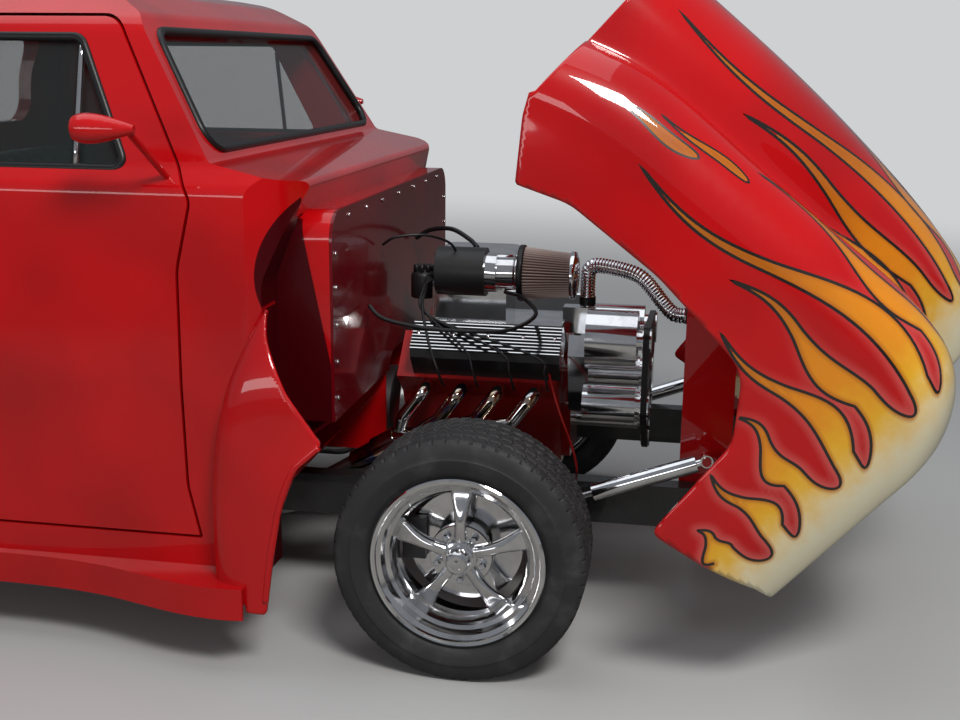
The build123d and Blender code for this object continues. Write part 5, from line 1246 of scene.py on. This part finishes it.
# %% Plug leads, lines and wire
UP = (0, 0, 1)
leads = []
for side in (-1, 1):
    for k, port in enumerate((-150, -46, 60, 160)):
        lift = 12 * k
        lead = [
            (-262 + 6 * k, side * (46 + 4 * k), 925 - 3 * k), (-250, side * (120 + lift), 905),
            (-232 + 8 * k, side * (250 + 0.4 * lift), 862 - lift * 0.5),
            (port - 40, side * (352 + 0.6 * lift), 780 - lift * 0.4), (port - 6, side * 392, 716),
            (port, side * 352, 664), (port, side * 322, 652),
        ]
        leads.append(drawn(smooth_path(lead, 60), 3.8, 10))
fitted("plug_leads", leads, black_plastic)
cap = [(0.01, 0), (38, 0), (40, 4), (40, 70), (36, 78), (30, 84), (0.01, 86)]
tower = [(0.01, 0), (7, 0), (7, 20), (5, 24), (0.01, 24)]
distributor = [turned(cap, (-285, 0, 850), UP, 40)]
for k in range(8):
    angle = TAU * k / 8
    distributor.append(turned(tower, (-285 + 26 * cos(angle), 26 * sin(angle), 930), UP, 12))
fitted("distributor_cap", distributor, black_plastic)
# Columns: radius, steps along, sides, route
LINES = (
    (6.0, 90, 12, [(-350, -420, 900), (-300, -440, 868), (-180, -452, 850), (-40, -446, 845),
                   (60, -420, 850), (120, -340, 880), (60, -200, 900), (0, -150, 905)]),
    (7.5, 50, 12, [(-352, 180, 1010), (-300, 170, 1040), (-220, 120, 1052), (-150, 60, 1030),
                   (-120, 40, 1008)]),
    (4.0, 50, 10, [(-352, -250, 1050), (-310, -260, 1075), (-230, -230, 1080), (-170, -160, 1050),
                   (-150, -110, 1000)]),
)
lines = [drawn(smooth_path(spots, steps), radius, sides) for radius, steps, sides, spots in LINES]
fitted("engine_lines", lines, seal_rubber)
wire_route = [(150, -290, 720), (175, -335, 655), (205, -362, 580), (238, -372, 500), (252, -360, 430),
              (240, -320, 390)]
fitted("starter_wire", [drawn(smooth_path(wire_route, 80), 3.6, 8)], red_wire)
print("leads, lines and wire made")


# %% [markdown]
# Small bolts hold the valve covers and the firewall. Each is a domed head turned on its own axis.

# %% Bolts
def bolt(centre, direction, size=7.0):
    """A domed bolt head, size millimetres in radius."""
    profile = [(0.01, -1), (size, -1), (size, 0.45 * size), (0.8 * size, 0.75 * size), (0.01, 0.85 * size)]
    return turned(profile, centre, direction, 12)


COVER_REACH = 424.0 * 0.7071
cover_bolts = [bolt((ahead, side * COVER_REACH, 490 + COVER_REACH + 8), (0, side, 1), 8)
               for side in (-1, 1) for ahead in (-232, -128, -24, 80, 172)]
fitted("cover_bolts", cover_bolts, chrome)
WALL = -364.4
wall_bolts = [bolt((WALL, y, z), AHEAD, 6) for y in (-690, 690) for z in (700, 800, 900, 1000, 1090)]
wall_bolts += [bolt((WALL, y, 1176), AHEAD, 6) for y in (-560, -380, -200, 0, 200, 380, 560)]
fitted("firewall_bolts", wall_bolts, chrome)
print("bolts made")


# %% [markdown]
# Black rubber seals frame the windows. Each follows its opening's outline, which lies on the cab's
# leaning wall, and a polished bar divides the door's window.

# %% Window seals
def wall_y(z):
    """How far the cab's side stands from the middle at this height above the belt."""
    return 812 - (z - 1320) * 88 / 348


def closed_seal(path, radius, sides=10):
    """A round seal along a closed path."""
    ring = np.vstack([path, path[:1]])
    steps = np.concatenate([[0], np.cumsum(np.linalg.norm(np.diff(ring, axis=0), axis=1))])
    even = np.linspace(0, steps[-1], 241)[:-1]
    path = np.stack([np.interp(even, steps, ring[:, k]) for k in range(3)], 1)
    way = np.roll(path, -1, 0) - np.roll(path, 1, 0)
    way /= np.linalg.norm(way, axis=1)[:, None]
    outward = path - path.mean(0)
    outward -= way * (outward * way).sum(1)[:, None]
    outward /= np.linalg.norm(outward, axis=1)[:, None]
    face_way = np.cross(way, outward)
    angle = np.arange(sides) * TAU / sides
    points = path[:, None] + radius * (np.cos(angle)[None, :, None] * outward[:, None]
                                       + np.sin(angle)[None, :, None] * face_way[:, None])
    return points.reshape(-1, 3), grid_faces(len(path), sides, wrap_rows=True, wrap_columns=True)


window = rounded([(-872, 1306), (-1014, 1632), (-1598, 1632), (-1612, 1306)], (24, 34, 44, 30), 12)
side_path = np.stack([window[:, 0], wall_y(window[:, 1]) - 3, window[:, 1]], 1)
screen_foot, screen_head = np.array([-652.0, 1326.0]), np.array([-868.0, 1692.0])
screen_length = np.linalg.norm(screen_head - screen_foot)
rise = (screen_head - screen_foot) / screen_length
screen_top = screen_length - 50
flat_screen = rounded([(-752, 30), (-664, screen_top), (664, screen_top), (752, 30)], (60,) * 4, 12)
screen_path = np.stack([screen_foot[0] + rise[0] * flat_screen[:, 1] - 1, flat_screen[:, 0],
                        screen_foot[1] + rise[1] * flat_screen[:, 1]], 1)
SEAL = 12.0
fitted("windscreen_seal", [closed_seal(screen_path, SEAL)], seal_rubber)
bar_z = np.linspace(1310, 1628, 8)
bar = np.stack([0 * bar_z - 1012, wall_y(bar_z) - 2, bar_z], 1)
for (side, _), seal in zip(SIDES, both_sides(closed_seal(side_path, SEAL))):
    fitted(f"door_seal_{side}", [seal], seal_rubber, f"door_{side}")
for side, sign in SIDES:
    fitted(f"vent_bar_{side}", [drawn(bar * (1, sign, 1), 7.5, 12)], polished, f"door_{side}")
print("window seals made")


# %% [markdown]
# The truck stands on a plain pale floor under a large soft light from above and the camera's
# right, with a weaker fill from the other side. Two long panels give the paint and the chrome
# something to reflect, because shiny surfaces only show what is around them.

# %% Floor and lights
def light(name, place, aim, size, power, colour=(1, 1, 1)):
    """A rectangular lamp at a place, facing the point it is aimed at."""
    data = bpy.data.lights.new(name, "AREA")
    data.shape = "RECTANGLE"
    data.size, data.size_y = size
    data.energy = power
    data.color = colour
    lamp = bpy.data.objects.new(name, data)
    lamp.location = place
    lamp.rotation_euler = (Vector(aim) - Vector(place)).to_track_quat("-Z", "Y").to_euler()
    bpy.context.collection.objects.link(lamp)


light("key", (3.2, -4.0, 5.0), (0.8, 0, 0.7), (1.6, 1.2), 230, (1, 0.98, 0.95))
light("sky", (0, 0, 6.0), (0, 0, 0), (7.0, 5.0), 110, (0.93, 0.96, 1))
light("side strip", (-1.5, -5.5, 1.6), (0, 0, 0.8), (5.0, 0.7), 40)
light("rear fill", (-4.5, 3.5, 3.0), (0, 0, 0.8), (3.0, 2.0), 55)
BACKDROP = (0.62, 0.63, 0.64, 1)
world = bpy.data.worlds.new("studio")
world.use_nodes = True
bpy.context.scene.world = world
tree = world.node_tree
tree.nodes["Background"].inputs["Color"].default_value = (0.80, 0.84, 0.88, 1)
tree.nodes["Background"].inputs["Strength"].default_value = 0.26
ray = tree.nodes.new("ShaderNodeLightPath")


def sky(colour):
    """A background of one colour."""
    node = tree.nodes.new("ShaderNodeBackground")
    node.inputs["Color"].default_value = colour
    return node


def shown_to(kind, usual, special):
    """The usual shader, except for one kind of ray, which sees the special one."""
    node = tree.nodes.new("ShaderNodeMixShader")
    tree.links.new(ray.outputs[kind], node.inputs[0])
    tree.links.new(usual.outputs[0], node.inputs[1])
    tree.links.new(special.outputs[0], node.inputs[2])
    return node


dimmed = shown_to("Is Glossy Ray", tree.nodes["Background"], sky((0.20, 0.21, 0.23, 1)))
chosen = shown_to("Is Camera Ray", dimmed, sky(BACKDROP))
tree.links.new(chosen.outputs[0], tree.nodes["World Output"].inputs["Surface"])
bpy.context.scene.view_settings.view_transform = "Standard"

ground_mesh = bpy.data.meshes.new("ground")
ground_mesh.from_pydata([(-30, -30, 0), (30, -30, 0), (30, 30, 0), (-30, 30, 0)], [], [(0, 1, 2, 3)])
ground = bpy.data.objects.new("ground", ground_mesh)
bpy.context.collection.objects.link(ground)
ground_finish = Finish("pale floor", (0.50, 0.50, 0.50), 0.7, Specular_IOR_Level=0.2)
# Far from the truck the camera sees the floor turn into the backdrop, so no horizon shows
spot = ground_finish.place()
far = ground_finish.node("ShaderNodeVectorMath", {"operation": "LENGTH"}, {0: spot}, out="Value")
camera_ray = ground_finish.node("ShaderNodeLightPath", out="Is Camera Ray")
ground_finish.use(Base_Color=ground_finish.mix(camera_ray, (0.24, 0.235, 0.22), (0.50, 0.50, 0.50)))
glow_node = ground_finish.nodes.new("ShaderNodeEmission")
glow_node.inputs["Color"].default_value = BACKDROP
blend_node = ground_finish.nodes.new("ShaderNodeMixShader")
ground_finish.feed(blend_node, {0: far.step(3.5, 11.0) * camera_ray})
ground_finish.links.new(ground_finish.shader.outputs[0], blend_node.inputs[1])
ground_finish.links.new(glow_node.outputs[0], blend_node.inputs[2])
ground_finish.links.new(blend_node.outputs[0], ground_finish.nodes["Material Output"].inputs["Surface"])
ground_mesh.materials.append(ground_finish.material)
print("stage set")
